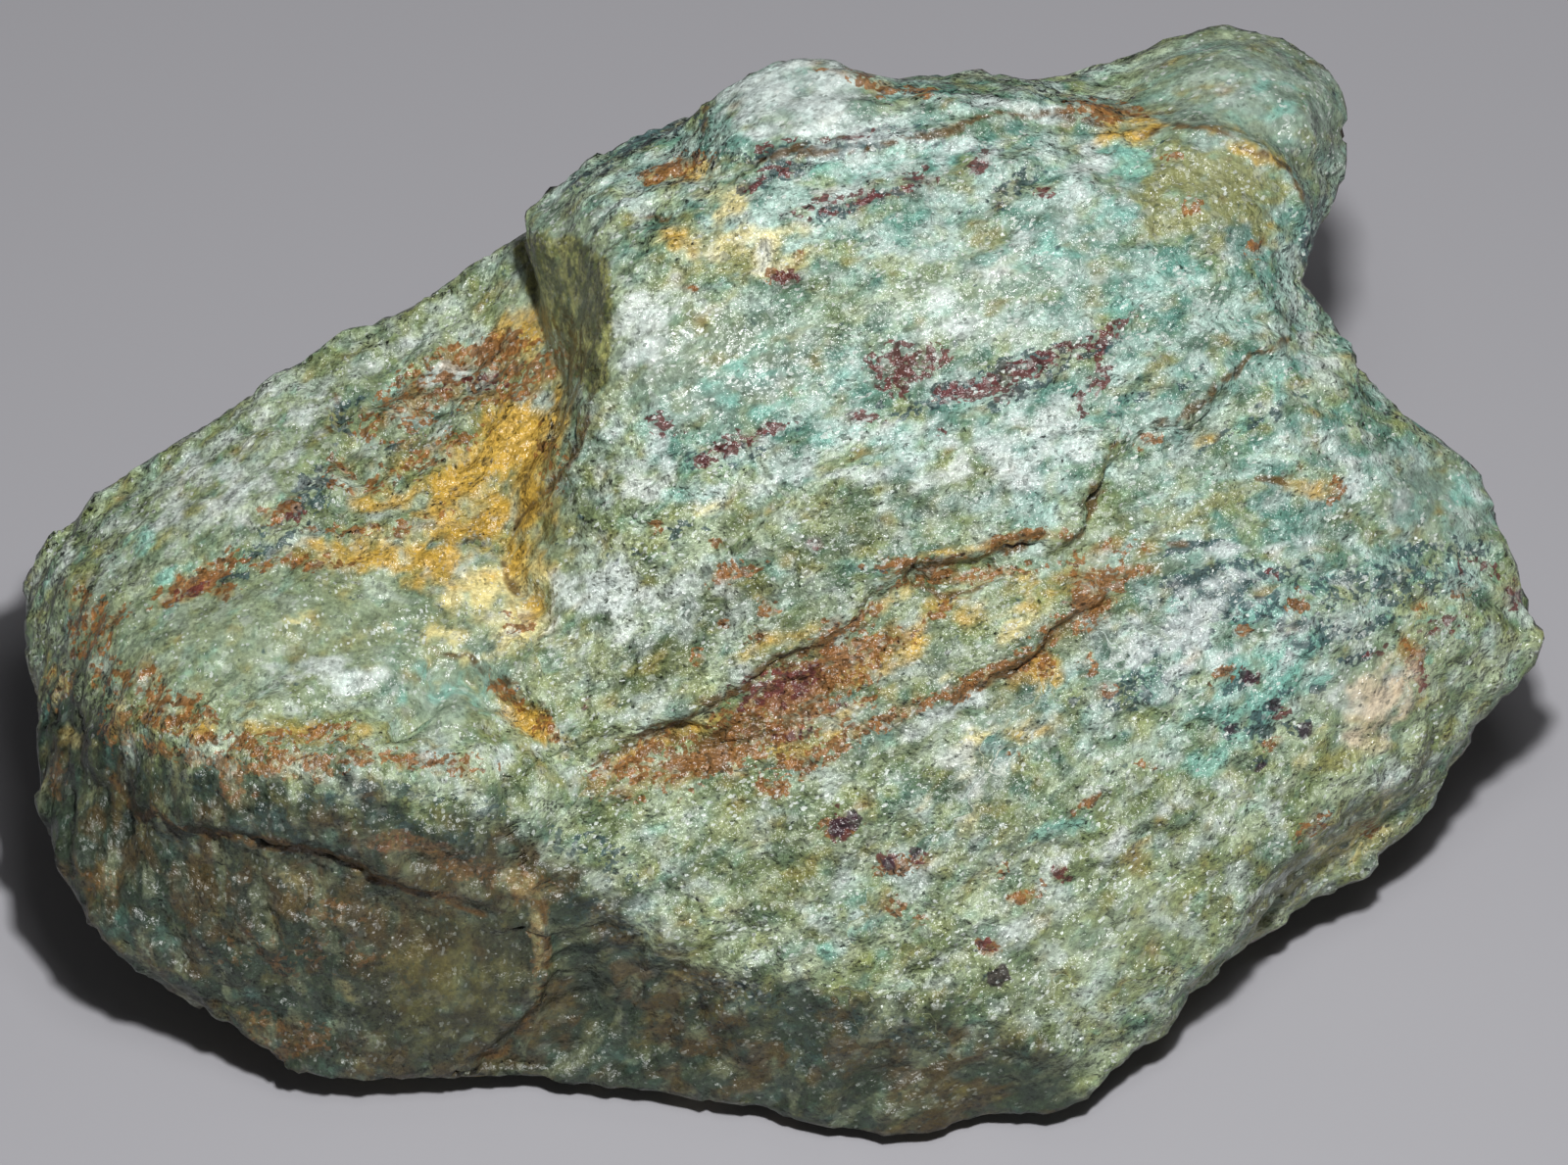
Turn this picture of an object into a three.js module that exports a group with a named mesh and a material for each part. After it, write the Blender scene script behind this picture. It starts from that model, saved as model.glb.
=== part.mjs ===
// A rough lump of green quartzite, 100 mm long, lying on the flat of an old break.
// A high block on the right has one broad bright face that leans back, and a lower block on the left
// has a level top. A steep step parts the two tops, and broken walls close the front, the ends and the back.
import * as THREE from "three";
import { ConvexHull } from "three/addons/math/ConvexHull.js";
import { ImprovedNoise } from "three/addons/math/ImprovedNoise.js";

// Sizes are in millimetres. The surface is drawn in two frames.
// Points of the "face" frame are [across, up, out]: across the broad face, up its slope and out of it.
// Points of the "table" frame are [x, y, z], with z above the table that the stone lies on.
const FACE_LEAN = THREE.MathUtils.degToRad(40);
const FACE_HEIGHT = 30;

// Every point of the surface can be seen from the core, so the stone is drawn as distances from it.
const CORE = new THREE.Vector3(0, 8, 18);
const HALF_SIZE = new THREE.Vector3(50, 32, 22);

// The distance between neighbouring points of the surface, and the share of it that kept points may come to.
const SPACING = { ridge: 1.6, seen: 1.5, back: 1.8, base: 4.5 };
const CLOSENESS = { drawn: 0.5, filled: 0.83 };
const BACK_STARTS = 30;
const SCATTERED_DIRECTIONS = 40000;

// The relief that is worked into the facets: broad swells, small lumps and the ledges of the layers.
const SWELL = { size: 15, height: 0.7 };
const LUMP = { size: 5.5, height: 0.45 };
const LAYER = { thickness: 3.4, height: 0.5, waviness: 2.2, wave: 11, rise: 0.8 };
const LAYER_NORMAL = new THREE.Vector3(0.25, -0.94, 0.22).normalize();
const NOISE_ORIGIN = 40;

// The lowest that a point outside the flat underneath may come, and where the relief has its full height.
const LEAST_LIFT = 0.2;
const FULL_RELIEF = 4;

// How far a point stays where it was drawn when the facets are eased: 1 keeps an edge sharp.
const SHARP = 1;
const BLUNT = 0.6;
const SOFT = 0.25;
const EASING_PASSES = 2;
const EASING_STEP = 0.5;

const faceLines = [
  // The outline, from the left end over the low block to the foot of the step.
  [SHARP, [-49.7, -0.3, -19.3], [-48.3, 1.9, -18.5], [-44.7, 5.9, -18], [-37.6, 10.6, -18],
    [-30.7, 15.3, -19.4], [-24.8, 17.6, -20], [-20.2, 20.8, -21.4], [-18.1, 22.4, -21]],
  // The outline, over the high block and its bump.
  [SHARP, [-17.1, 24.1, -13], [-13, 27.1, -14], [-7.4, 29.8, -15], [-5.3, 30.6, -13]],
  [SHARP, [-5, 31.3, -10.5], [-4.2, 32.2, -9], [-2.2, 33.6, -9], [0.6, 34.7, -9], [3.9, 34, -9],
    [8.5, 32.6, -9.5], [14, 33.1, -13], [18.3, 32.3, -13], [21, 32.6, -14]],
  // The outline, round the knob and into the notch beside it.
  [SHARP, [21, 32.6, -14], [22.9, 34.2, -15], [24.9, 35.2, -16], [27.1, 36.3, -16.5], [29.4, 36.9, -17],
    [31.4, 36.5, -17], [34, 35.5, -16.5], [36, 34, -16], [36.9, 32, -16], [36.9, 29, -15.5],
    [36.2, 26, -14.5], [35.3, 24.1, -13.5], [34, 22.1, -10], [33.8, 19.8, -9], [34.6, 17.5, -9]],
  // The outline, down the right side to the tip and under it.
  [SHARP, [34.6, 17.5, -9], [36, 16.1, -9], [37.8, 13.1, -9.5], [41.2, 10, -10], [45.6, 6.9, -12],
    [46.8, 3.8, -12], [48.3, 0, -12.5], [50.1, -3.3, -13], [49, -5.9, -14], [46.8, -7.9, -14],
    [43.8, -11.2, -13], [42.1, -14, -14], [40.6, -16.7, -14.5], [37.9, -19.3, -14.5], [35.5, -20.6, -14.5],
    [32.2, -22.9, -13.8], [28.5, -25.5, -12.3], [25.2, -29.1, -9.5], [22.6, -30.9, -6.7]],
  // The outline, along the foot of the front wall.
  [SHARP, [22.6, -30.9, -6.7], [20.3, -33.4, -7.2], [17.3, -35, -7.2], [13.1, -35, -7.8], [9.8, -36, -7],
    [6.9, -36.2, -6.8], [2, -35.5, -7.4], [-2.2, -34, -8], [-7.4, -33.7, -8.3], [-13.3, -32.9, -8.9],
    [-16.6, -32.4, -8.7], [-23.1, -32.4, -8.1], [-28.4, -32.7, -7.8], [-32.9, -32.1, -7.7]],
  // The outline, up round the left end.
  [SHARP, [-32.9, -32.1, -7.7], [-34.9, -30.4, -7.2], [-38.2, -27.5, -6.9], [-42.1, -25.8, -5.7],
    [-45.4, -22.2, -4.8], [-48, -18.7, -6.5], [-49.3, -14.7, -9.8], [-48.7, -11.8, -9.7],
    [-48.7, -8.8, -12.1], [-49, -6.2, -14], [-49.7, -2.3, -17.6], [-49.7, -0.3, -19.3]],

  // The brow of the step between the blocks, then its foot on the low block.
  [SHARP, [-17.1, 24.1, -13], [-16.3, 22.9, -11], [-13.5, 21.8, -7], [-11.9, 21.3, -3.5], [-11.2, 18.2, -2],
    [-11.7, 13.1, -2], [-12.9, 10.3, -2.2], [-14.2, 5.7, -2.5], [-14.9, 2.4, -3], [-14.6, -0.8, -2.5],
    [-14.9, -3.1, -2.2]],
  [SHARP, [-18.1, 22.2, -20.5], [-17.3, 19.9, -18.5], [-16.3, 18.3, -17], [-15.4, 15.4, -14.5],
    [-13.8, 12.8, -11], [-15, 9.9, -10.5], [-17.6, 7, -10], [-17.6, 4.4, -8.5], [-18.1, 1.1, -6.5],
    [-16.2, -1.8, -4.5], [-15.8, -3.5, -3]],

  // The back rim of the high block, the small step at its bump, and the rim as far as the knob.
  [SHARP, [-13, 25.9, -9], [-8.8, 26.2, -8], [-5.5, 26.3, -6.8], [-5, 28.5, -7.2], [-5, 31.3, -10.5]],
  [SHARP, [3.9, 33.2, -7.5], [8.5, 32, -7], [12.8, 31.4, -6.5], [16.7, 31.7, -7.2], [19.9, 31, -7.6],
    [21.8, 29.5, -7]],
  [BLUNT, [-11.6, 23.4, -5.4], [-8.5, 23.5, -3.6], [-5.8, 22.8, -2.6]],
  // The rim that the knob rises behind, and the furrow between them.
  [SHARP, [21.8, 29.5, -7], [24.9, 29.9, -6.5], [27.8, 29.8, -6.3], [31.4, 28.3, -6.5], [33.7, 25.7, -7.5],
    [34.4, 23.8, -8.5]],
  [BLUNT, [20.6, 31.6, -12], [22.8, 31.5, -11], [24.5, 30.9, -9.8], [27.8, 30.9, -8.9], [30.5, 30.2, -8.9],
    [33, 28.3, -9.5], [34.5, 26, -10.8]],

  // The edge between the low block's top and its front wall.
  [BLUNT, [-44.1, -8.5, -3.3], [-41.5, -9.5, 0.1], [-34.9, -11.5, 3.6], [-30.3, -11.9, 4.6],
    [-26.4, -12.8, 4.4], [-22.5, -13.1, 3.6], [-18.6, -14, 2.2], [-15.4, -13.9, 1], [-13, -13.1, 0.2]],
  // The left edge of the low block's top, down to the overhang.
  [BLUNT, [-47.4, -0.3, -12.8], [-43.6, -2.4, -7.4], [-41.5, -4.9, -3.6], [-44.1, -8.5, -3.3],
    [-45.8, -12, -4.2], [-47.4, -18.3, -5.2]],
  // The small scale that has split off at the corner of the two tops.
  [SHARP, [-24.7, -7.4, -0.4], [-23, -4.3, -2.4], [-21, -4.4, -2.4], [-19.1, -6.1, -1.4], [-17, -7.4, -0.9],
    [-15.5, -8.7, -0.6], [-14.2, -11.2, 0]],

  // The crack across the front wall of the low block: the lip over it, then the wall set back under it.
  [SHARP, [-43.5, -11.5, -3], [-42.2, -13.8, -1.9], [-41, -15.4, -0.3], [-38, -16, 1.3],
    [-35.6, -16.6, 1.8], [-32.9, -17.2, 2.1], [-30, -17.6, 2.2], [-26.7, -19.3, 1.2], [-24, -20.2, 0.5],
    [-19.9, -21.1, -0.6], [-17, -20.2, -0.6]],
  [BLUNT, [-42.8, -15.2, -2.8], [-41, -16.8, -1.4], [-38, -17.4, 0], [-32.9, -18.6, 0.7], [-30, -19, 0.8],
    [-26.7, -20.6, 0], [-24, -21.5, -0.6], [-19.9, -22.3, -1.6]],
  // The right edge of that wall, where the front wall steps back.
  [SHARP, [-16.6, -19.3, -0.8], [-15.6, -21.9, -1.9], [-15.6, -24.6, -3.4], [-16, -26.8, -4.7],
    [-16.6, -28.5, -5.7], [-18.6, -30.6, -7.2], [-20.9, -31.6, -7.8]],
  [BLUNT, [-12.2, -22, -3.6], [-11.8, -24.4, -5.3], [-12, -27, -6.9], [-12.6, -29.8, -8.2]],

  // The brow of the front wall, under the broad face.
  [SHARP, [-16.6, -18.3, -0.6], [-15.3, -19.3, -0.8], [-12.1, -20.6, -1.4], [-8.8, -22.6, -2.1],
    [-5.5, -24.6, -2.6], [-2.9, -25.8, -2.8], [2, -26.8, -2.8], [6.9, -27.9, -2.8], [9.8, -28.5, -3],
    [13.1, -29.1, -3.5], [16.3, -30.4, -4.2], [19.6, -31.2, -5.5]],
  // A ledge half way down the front wall.
  [BLUNT, [-9, -27, -5.6], [-4.5, -28.6, -5.2], [0.5, -30, -4.8], [5.2, -31, -4.7], [10, -31.8, -4.9]],

  // The ledge across the broad face: the lip of the upper layer, then the lower layer set back under it.
  [SHARP, [-12.6, -12.6, 0.2], [-11.6, -11.2, 0.4], [-9.3, -9.9, 0.8], [-5.6, -8, 1.4], [-2.8, -6.8, 1.8],
    [-0.8, -4.9, 2.1], [2.2, -4.1, 2.3], [4.7, -2.7, 2.4], [6, -0.2, 2.5], [7.6, 1, 2.6], [12.3, 1.9, 2.5],
    [13.6, 2.8, 2.3], [16.2, 3.1, 1.9], [17.9, 2.8, 1.6], [19.5, 3.5, 1.2], [20.1, 5.7, 0.8],
    [21.5, 9, 0.3], [23.4, 10.3, 0], [26.2, 10.7, -0.6], [29.4, 13.9, -1.8], [31.7, 15.3, -3.4],
    [33.6, 17.4, -7]],
  [BLUNT, [-10.4, -12.4, -0.9], [-7.2, -10.6, -0.5], [-3, -8.6, 0.2], [0.4, -6.3, 0.6], [4.4, -4.8, 0.9],
    [7.1, -1, 1], [11.4, 0.4, 1], [15.6, 1.6, 0.7], [19.2, 1.6, 0.2], [21.8, 4.6, -0.3], [23.4, 8.4, -0.9],
    [27.2, 9, -1.6]],
  // The second crack, lower on the broad face: a groove with a bright lower side.
  [SHARP, [8, -9.2, 1], [10.3, -7.8, 1.1], [14.6, -5.8, 1.2], [17.5, -3.1, 1.1], [20.1, -0.2, 0.7]],
  [BLUNT, [8.4, -10.2, 0], [11, -9, 0], [15.2, -7, 0.1], [18.3, -4.2, 0.1], [21.2, -1.2, -0.1]],

  // The edge over the scoop at the lower right.
  [SHARP, [43.4, -10.2, -11.6], [40.9, -12.1, -9.6], [38.6, -13.4, -8], [36.6, -14.7, -7],
    [34.7, -16.7, -6.2], [33, -18.3, -5.6], [31.4, -19.9, -5.3], [29.4, -21.9, -5.2], [28.3, -24.2, -6.4],
    [26.6, -26.6, -7.6]],
  [BLUNT, [40, -15, -13.6], [37, -17, -13], [34.2, -19.4, -12.2], [31.6, -21.4, -11.2]],
];

const faceSpots = [
  // The low block's top, stained near the step and pale towards the front.
  [-28.8, 12.5, -15.7], [-22.4, 11.2, -14], [-35.3, 6.1, -11], [-41.7, 2.2, -10.3], [-28.8, 2.2, -7],
  [-22.4, 2.2, -7], [-35.3, -2.9, -2.7], [-30, -6, 0.4], [-25.6, -4.2, -2.3], [-20.5, 14.8, -16.8],
  [-26.5, 15, -18], [-35, 9.6, -14.6], [-28.5, 7, -11.4], [-21.4, 6.8, -10.6], [-20.2, -1, -4.6],
  [-40, -7, -1.2], [-34, -8, 1.5], [-20, -10, 0.9], [-17.6, -4.6, -2],
  // The folded patch over the step, and the bump.
  [-14.4, 24.2, -9.6], [-12.6, 24.2, -6.8], [-9.6, 24.8, -5.6], [-9, 22.1, -2.2], [-10.2, 28, -11.6],
  [-3.8, 28.5, -4.8], [-2.6, 31.1, -5.8], [0.6, 31.1, -4.9], [3.8, 31, -5.2],
  // The upper part of the broad face.
  [-6.4, 22.1, -1.2], [-1, 24.6, -1.6], [6.4, 25.3, -1.4], [11, 28, -3.4], [16, 27.2, -3.4],
  [21.4, 26, -3.2], [28.8, 24, -3.6], [32.2, 22.4, -5.6], [25.6, 18.9, -1.8], [19.2, 18.9, -0.4],
  [6.4, 15.7, 0.9], [-3.2, 13.8, 0.6], [-8.8, 15, -0.4], [-6.4, 7.4, 0.4], [3.2, 7.4, 2.1],
  [12.8, 9.9, 1.9], [-9.6, -0.3, 0], [-3.2, 1, 1.7], [3.2, 3.5, 2.6], [-10.8, 6, -0.6], [-8, -5.4, 0.7],
  [31.6, 19.2, -4.2], [12, 19.5, 0.3], [0, 19, 0.1], [16, 5.6, 2], [-12.6, -8, -0.2],
  // The rusty band and the lower part of the broad face.
  [3.2, -9.3, 0.1], [9.6, -3.5, 0.8], [-6.4, -15.1, -0.9], [0, -17, -0.6], [6.4, -19.6, -0.8],
  [12.8, -16.3, 0], [12.8, -23.4, -1.8], [19.2, -22.8, -2.4], [19.2, -13.1, -0.3], [25.6, -6.7, -0.4],
  [25.6, -16.3, -2.2], [28.8, 2.9, -1.2], [32, -3.5, -2], [32, -11.9, -3.6], [38.5, 7.4, -5.4],
  [38.5, -0.3, -4.6], [38.5, -8, -5.8], [43.6, 2.2, -8], [44.9, -3.5, -8.6], [42.9, -9, -9.8],
  [33, 8.6, -2.6], [25.6, 6.1, -0.9], [5, -13.4, -0.3], [-1.2, -22.2, -1.6], [22.6, -27.2, -4.6],
  [36.6, 12.2, -5.4],
  // The front walls.
  [-38, -21.4, -2.4], [-43.6, -18.6, -3.6], [-32, -23.4, -1.8], [-25, -26.4, -3.4], [-30, -28.4, -5],
  [-21, -27, -4], [-36.4, -26.2, -4.6], [-37, -13.4, 2.6], [-28.6, -15.2, 3.6], [-21.8, -17.2, 1.8],
  [-9.6, -29.8, -7.2], [-2, -31.4, -6.4], [8, -33.6, -6], [16, -32.6, -6], [-13, -28, -7.2],
  // The knob.
  [25.2, 33.2, -11.4], [28.6, 35.2, -12.4], [27.6, 32.6, -9.6], [30.6, 32.2, -9.2], [31.6, 34.6, -12],
  [33.6, 33.2, -11.6], [34.4, 30.8, -10], [35.2, 28.4, -10.6], [32.6, 30, -9.3], [35.6, 31.8, -13],
];

const tableLines = [
  // The wall behind, just under its rim.
  [BLUNT, [-45, 18, 16], [-33, 25, 20], [-26, 29, 21], [-17, 30, 29.5], [-8, 35.5, 30.5]],
  [BLUNT, [-2, 36, 36.5], [6, 36.5, 37], [14, 37.6, 35], [21, 38.6, 33]],
  [SHARP, [25.5, 41.4, 34], [30, 43.2, 33], [33.8, 40.6, 31], [34.8, 36.6, 29], [33, 31, 25]],
  // The bay under the knob, from the notch down.
  [SHARP, [33.4, 21.6, 35], [32.4, 26, 30], [32.2, 29.6, 25], [32.6, 31, 18], [32, 29, 10]],
  // A ledge across it: the lip of the outer layer, then the wall set back over it.
  [SHARP, [-14, 36.5, 24.5], [-8, 39, 26.6], [0, 41, 28.6], [8, 42, 29], [16, 42.4, 29.6],
    [24, 43.6, 29.4]],
  [BLUNT, [-13, 34.6, 26], [-7, 37, 28.2], [1, 38.8, 30.4], [9, 39.6, 31], [17, 40.4, 31.4],
    [24, 42, 31.4]],
  // The wall at its fullest, with the bay under the knob, then low down.
  [SHARP, [-47.5, 16, 12], [-41, 22.5, 13], [-34, 29, 13], [-22, 34.5, 17], [-11, 41, 19], [0, 41.8, 22],
    [9, 44, 21], [19, 44.8, 22], [28, 44.5, 18], [31, 38, 17], [32.6, 31, 18], [37, 25, 18], [43, 19, 17],
    [48, 10, 13]],
  [BLUNT, [-44, 14, 6], [-36, 23, 5], [-24, 31, 6], [-10, 37, 7], [2, 37.6, 9], [14, 39, 7], [25, 37.6, 6],
    [30.6, 31.6, 7], [35.6, 23.6, 7], [41.6, 14, 7.6], [43.6, 3, 8]],
  // Breaks that run down the wall behind.
  [SHARP, [-34, 24.6, 19.6], [-35, 27.4, 16], [-34, 29, 13], [-33, 26, 6], [-31, 21, 1]],
  [SHARP, [-17, 30, 29.5], [-20, 32.6, 23], [-22, 34.5, 17], [-21, 33.6, 8], [-19, 30.4, 1]],
  [SHARP, [9, 42, 29], [10.6, 43.2, 25], [9, 44, 21], [12, 41.4, 13], [8, 36, 1]],
  [SHARP, [29, 43.6, 31], [29, 44.6, 25], [28, 44.5, 18], [26.4, 41.6, 12], [24, 33.6, 1]],
  [SHARP, [36, 16.8, 31.6], [37, 20.6, 25], [37, 25, 18], [36.4, 22.6, 10], [33.6, 17, 1]],
  // The left end, under its widest line.
  [SOFT, [-49, 10, 9], [-46, -2, 6], [-43, -10, 5]],
  // The edge of the flat that the stone lies on.
  [SHARP, [-34, 13, 0], [-28, 23, 0], [-16, 30, 0], [2, 34, 0], [16, 34.4, 0], [26, 31, 0], [32, 20, 0],
    [34.4, 10, 0], [34, 2, 0], [28, -6, 0], [20, -14, 0], [11, -19, 0], [2, -19.5, 0], [-9, -16.5, 0],
    [-20, -16, 0], [-28, -13, 0], [-33, -5, 0], [-35, 4, 0], [-34, 13, 0]],
];

const tableSpots = [
  [-29, 31, 13], [-15, 38, 13], [-2, 40.4, 14], [4, 42.6, 16], [19, 43, 13], [24, 44, 24], [14, 43.6, 25],
  [-28, 30.4, 17], [-39, 24, 16], [42.6, 17, 22], [45, 13, 20], [-42, 2, 3.5], [-38, -8, 3], [38, -1, 3.5],
  [-40, 10, 3], [31, 36, 24], [0, 10, 0], [-18, 8, 0], [18, 10, 0], [0, -6, 0], [0, 24, 0],
];

function fromFace([across, up, out]) {
  const y = up * Math.cos(FACE_LEAN) - out * Math.sin(FACE_LEAN);
  const z = FACE_HEIGHT + up * Math.sin(FACE_LEAN) + out * Math.cos(FACE_LEAN);
  return new THREE.Vector3(across, y, z);
}

function fromTable([x, y, z]) {
  return new THREE.Vector3(x, y, z);
}

// A point of the surface: where it is, the way from the core to it, and how firmly easing leaves it in place.
function surfacePoint(position, hold) {
  const fromCore = position.clone().sub(CORE).divide(HALF_SIZE);
  return { position, fromCore, way: fromCore.clone().normalize(), hold };
}

// A ridge line as evenly spaced points, ends included.
function pointsAlong(corners, hold) {
  const points = [surfacePoint(corners[0], hold)];
  for (let i = 1; i < corners.length; i++) {
    const steps = Math.max(1, Math.round(corners[i - 1].distanceTo(corners[i]) / SPACING.ridge));
    for (let step = 1; step <= steps; step++) {
      points.push(surfacePoint(corners[i - 1].clone().lerp(corners[i], step / steps), hold));
    }
  }
  return points;
}

// How close two points of the surface may lie at this place.
function spacingAt(position) {
  if (position.z < LEAST_LIFT) return SPACING.base;
  return position.y > BACK_STARTS ? SPACING.back : SPACING.seen;
}

// Keeps the points that are far enough from those kept before them.
function thinned(points, closeness) {
  const cell = SPACING.base;
  const cells = new Map();
  const kept = [];
  const cellOf = (value) => Math.floor(value / cell);
  for (const point of points) {
    const { x, y, z } = point.position;
    const gap = spacingAt(point.position) * closeness(point);
    let free = true;
    for (let i = cellOf(x) - 1; i <= cellOf(x) + 1 && free; i++) {
      for (let j = cellOf(y) - 1; j <= cellOf(y) + 1 && free; j++) {
        for (let k = cellOf(z) - 1; k <= cellOf(z) + 1 && free; k++) {
          const near = cells.get(`${i},${j},${k}`) ?? [];
          free = near.every((other) => other.position.distanceTo(point.position) >= gap);
        }
      }
    }
    if (!free) continue;
    const key = `${cellOf(x)},${cellOf(y)},${cellOf(z)}`;
    cells.set(key, [...(cells.get(key) ?? []), point]);
    kept.push(point);
  }
  return kept;
}

// The faces that join the points: those of the convex hull of their directions, seen from the core.
function facesOf(points) {
  const numbers = new Map(points.map((point, number) => [point.way, number]));
  const hull = new ConvexHull().setFromPoints(points.map((point) => point.way));
  return hull.faces.map((face) => {
    const corners = [];
    let edge = face.edge;
    do {
      corners.push(numbers.get(edge.head().point));
      edge = edge.next;
    } while (edge !== face.edge);
    return corners;
  });
}

// Points spread over the facets that the drawn lines and spots span.
function pointsOnFacets(drawn) {
  const facets = facesOf(drawn).map((corners) => {
    const [a, b, c] = corners.map((number) => drawn[number].fromCore);
    const weights = new THREE.Matrix3().set(a.x, b.x, c.x, a.y, b.y, c.y, a.z, b.z, c.z).invert();
    const centre = a.clone().normalize().add(b.clone().normalize()).add(c.clone().normalize()).normalize();
    const reach = Math.min(...[a, b, c].map((corner) => corner.clone().normalize().dot(centre)));
    return { weights, centre, reach };
  });
  const goldenAngle = Math.PI * (3 - Math.sqrt(5));
  const points = [];
  for (let n = 0; n < SCATTERED_DIRECTIONS; n++) {
    const height = 1 - (2 * n + 1) / SCATTERED_DIRECTIONS;
    const radius = Math.sqrt(1 - height * height);
    const turn = n * goldenAngle;
    const way = new THREE.Vector3(Math.cos(turn) * radius, Math.sin(turn) * radius, height);
    for (const { weights, centre, reach } of facets) {
      if (way.dot(centre) < reach) continue;
      const shares = way.clone().applyMatrix3(weights);
      if (Math.min(shares.x, shares.y, shares.z) < 0) continue;
      const position = way.clone().divideScalar(shares.x + shares.y + shares.z).multiply(HALF_SIZE).add(CORE);
      points.push(surfacePoint(position, 0));
      break;
    }
  }
  return points;
}

// A repeatable shuffle, so that the points that are kept fall in no pattern.
function shuffled(items) {
  const multiplier = 16807;
  const modulus = 2147483647;
  const mixed = [...items];
  let seed = 7;
  for (let i = mixed.length - 1; i > 0; i--) {
    seed = (seed * multiplier) % modulus;
    const j = seed % (i + 1);
    [mixed[i], mixed[j]] = [mixed[j], mixed[i]];
  }
  return mixed;
}

// Draws each point towards the middle of its neighbours, less where an edge is held.
function ease(points, faces) {
  const neighbours = points.map(() => new Set());
  for (const [a, b, c] of faces) {
    neighbours[a].add(b).add(c);
    neighbours[b].add(a).add(c);
    neighbours[c].add(a).add(b);
  }
  for (let pass = 0; pass < EASING_PASSES; pass++) {
    const moved = points.map((point, number) => {
      const middle = new THREE.Vector3();
      for (const other of neighbours[number]) middle.add(points[other].position);
      middle.divideScalar(neighbours[number].size);
      return point.position.clone().lerp(middle, EASING_STEP * (1 - point.hold));
    });
    points.forEach((point, number) => {
      if (point.position.z > LEAST_LIFT) point.position.copy(moved[number]);
    });
  }
}

const perlin = new ImprovedNoise();

function noiseAt(position, size) {
  const place = position.clone().divideScalar(size).addScalar(NOISE_ORIGIN);
  return perlin.noise(place.x, place.y, place.z);
}

// The height of the broken relief over the facets at a place.
function reliefAt(position) {
  const swell = SWELL.height * noiseAt(position, SWELL.size);
  const lump = LUMP.height * noiseAt(position, LUMP.size);
  const depth = position.dot(LAYER_NORMAL) + LAYER.waviness * noiseAt(position, LAYER.wave);
  const share = depth / LAYER.thickness - Math.floor(depth / LAYER.thickness);
  const slope = share < LAYER.rise ? share / LAYER.rise : (1 - share) / (1 - LAYER.rise);
  return swell + lump + LAYER.height * (slope - 0.5);
}

// Works the relief into the points, away from the core, and leaves the flat underneath as it is.
function roughen(points) {
  for (const { position } of points) {
    if (position.z < LEAST_LIFT) continue;
    const away = position.clone().sub(CORE).normalize();
    const share = THREE.MathUtils.smoothstep(position.z, LEAST_LIFT, FULL_RELIEF);
    position.addScaledVector(away, share * reliefAt(position));
    position.z = Math.max(position.z, LEAST_LIFT);
  }
}

const drawn = thinned(
  [
    ...faceLines.flatMap(([hold, ...line]) => pointsAlong(line.map(fromFace), hold)),
    ...tableLines.flatMap(([hold, ...line]) => pointsAlong(line.map(fromTable), hold)),
    ...faceSpots.map((spot) => surfacePoint(fromFace(spot), SOFT)),
    ...tableSpots.map((spot) => surfacePoint(fromTable(spot), SOFT)),
  ],
  () => CLOSENESS.drawn,
);
const points = thinned(
  [...drawn, ...shuffled(pointsOnFacets(drawn))],
  ({ hold }) => (hold > 0 ? CLOSENESS.drawn : CLOSENESS.filled),
);
const faces = facesOf(points);
ease(points, faces);
roughen(points);

const geometry = new THREE.BufferGeometry();
const coordinates = points.flatMap(({ position }) => [...position]);
geometry.setAttribute("position", new THREE.Float32BufferAttribute(coordinates, 3));
geometry.setIndex(faces.flat());
geometry.computeBoundingBox();
const middle = geometry.boundingBox.getCenter(new THREE.Vector3());
geometry.translate(-middle.x, -middle.y, 0);
geometry.computeVertexNormals();

const quartzite = new THREE.Mesh(
  geometry,
  new THREE.MeshStandardMaterial({ color: 0x8c9a80, roughness: 0.6, metalness: 0 }),
);
quartzite.name = "quartzite";

const stone = new THREE.Group();
stone.add(quartzite);

export default stone;
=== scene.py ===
"""Looks of a rough lump of green quartzite: its fine broken surface, its stains and its grain."""
import math

import bmesh
import bpy
import numpy as np
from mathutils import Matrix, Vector, noise


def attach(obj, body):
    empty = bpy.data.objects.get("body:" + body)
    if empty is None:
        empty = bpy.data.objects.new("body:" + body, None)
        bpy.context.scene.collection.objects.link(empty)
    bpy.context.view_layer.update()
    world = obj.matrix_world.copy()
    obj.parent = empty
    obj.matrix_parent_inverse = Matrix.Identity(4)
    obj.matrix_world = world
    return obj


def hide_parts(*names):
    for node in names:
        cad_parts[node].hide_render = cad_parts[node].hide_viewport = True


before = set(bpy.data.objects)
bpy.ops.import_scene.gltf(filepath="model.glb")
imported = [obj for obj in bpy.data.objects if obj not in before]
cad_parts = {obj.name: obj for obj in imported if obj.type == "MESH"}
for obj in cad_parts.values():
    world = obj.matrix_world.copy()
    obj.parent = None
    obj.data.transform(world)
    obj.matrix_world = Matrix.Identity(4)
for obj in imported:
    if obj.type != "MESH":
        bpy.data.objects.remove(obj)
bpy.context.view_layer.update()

# Sizes in this script are millimetres, and Blender's are metres.
MM = 0.001

# The broad face leans back from upright, and the camera looks straight at it. Its own frame is [across,
# up, out], and its middle is given in the row frame.
FACE_LEAN = math.radians(40)
FACE_MIDDLE = np.array([0.165, -10.77, 30.0])
FACE_AXES = np.array([
    [1.0, 0.0, 0.0],
    [0.0, math.cos(FACE_LEAN), math.sin(FACE_LEAN)],
    [0.0, -math.sin(FACE_LEAN), math.cos(FACE_LEAN)],
])

# Marks are placed by pixels of the photograph's 1600 by 1189 frame.
PHOTO_SIZE = (1600, 1189)
PIXELS_PER_MM = 15.6

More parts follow.
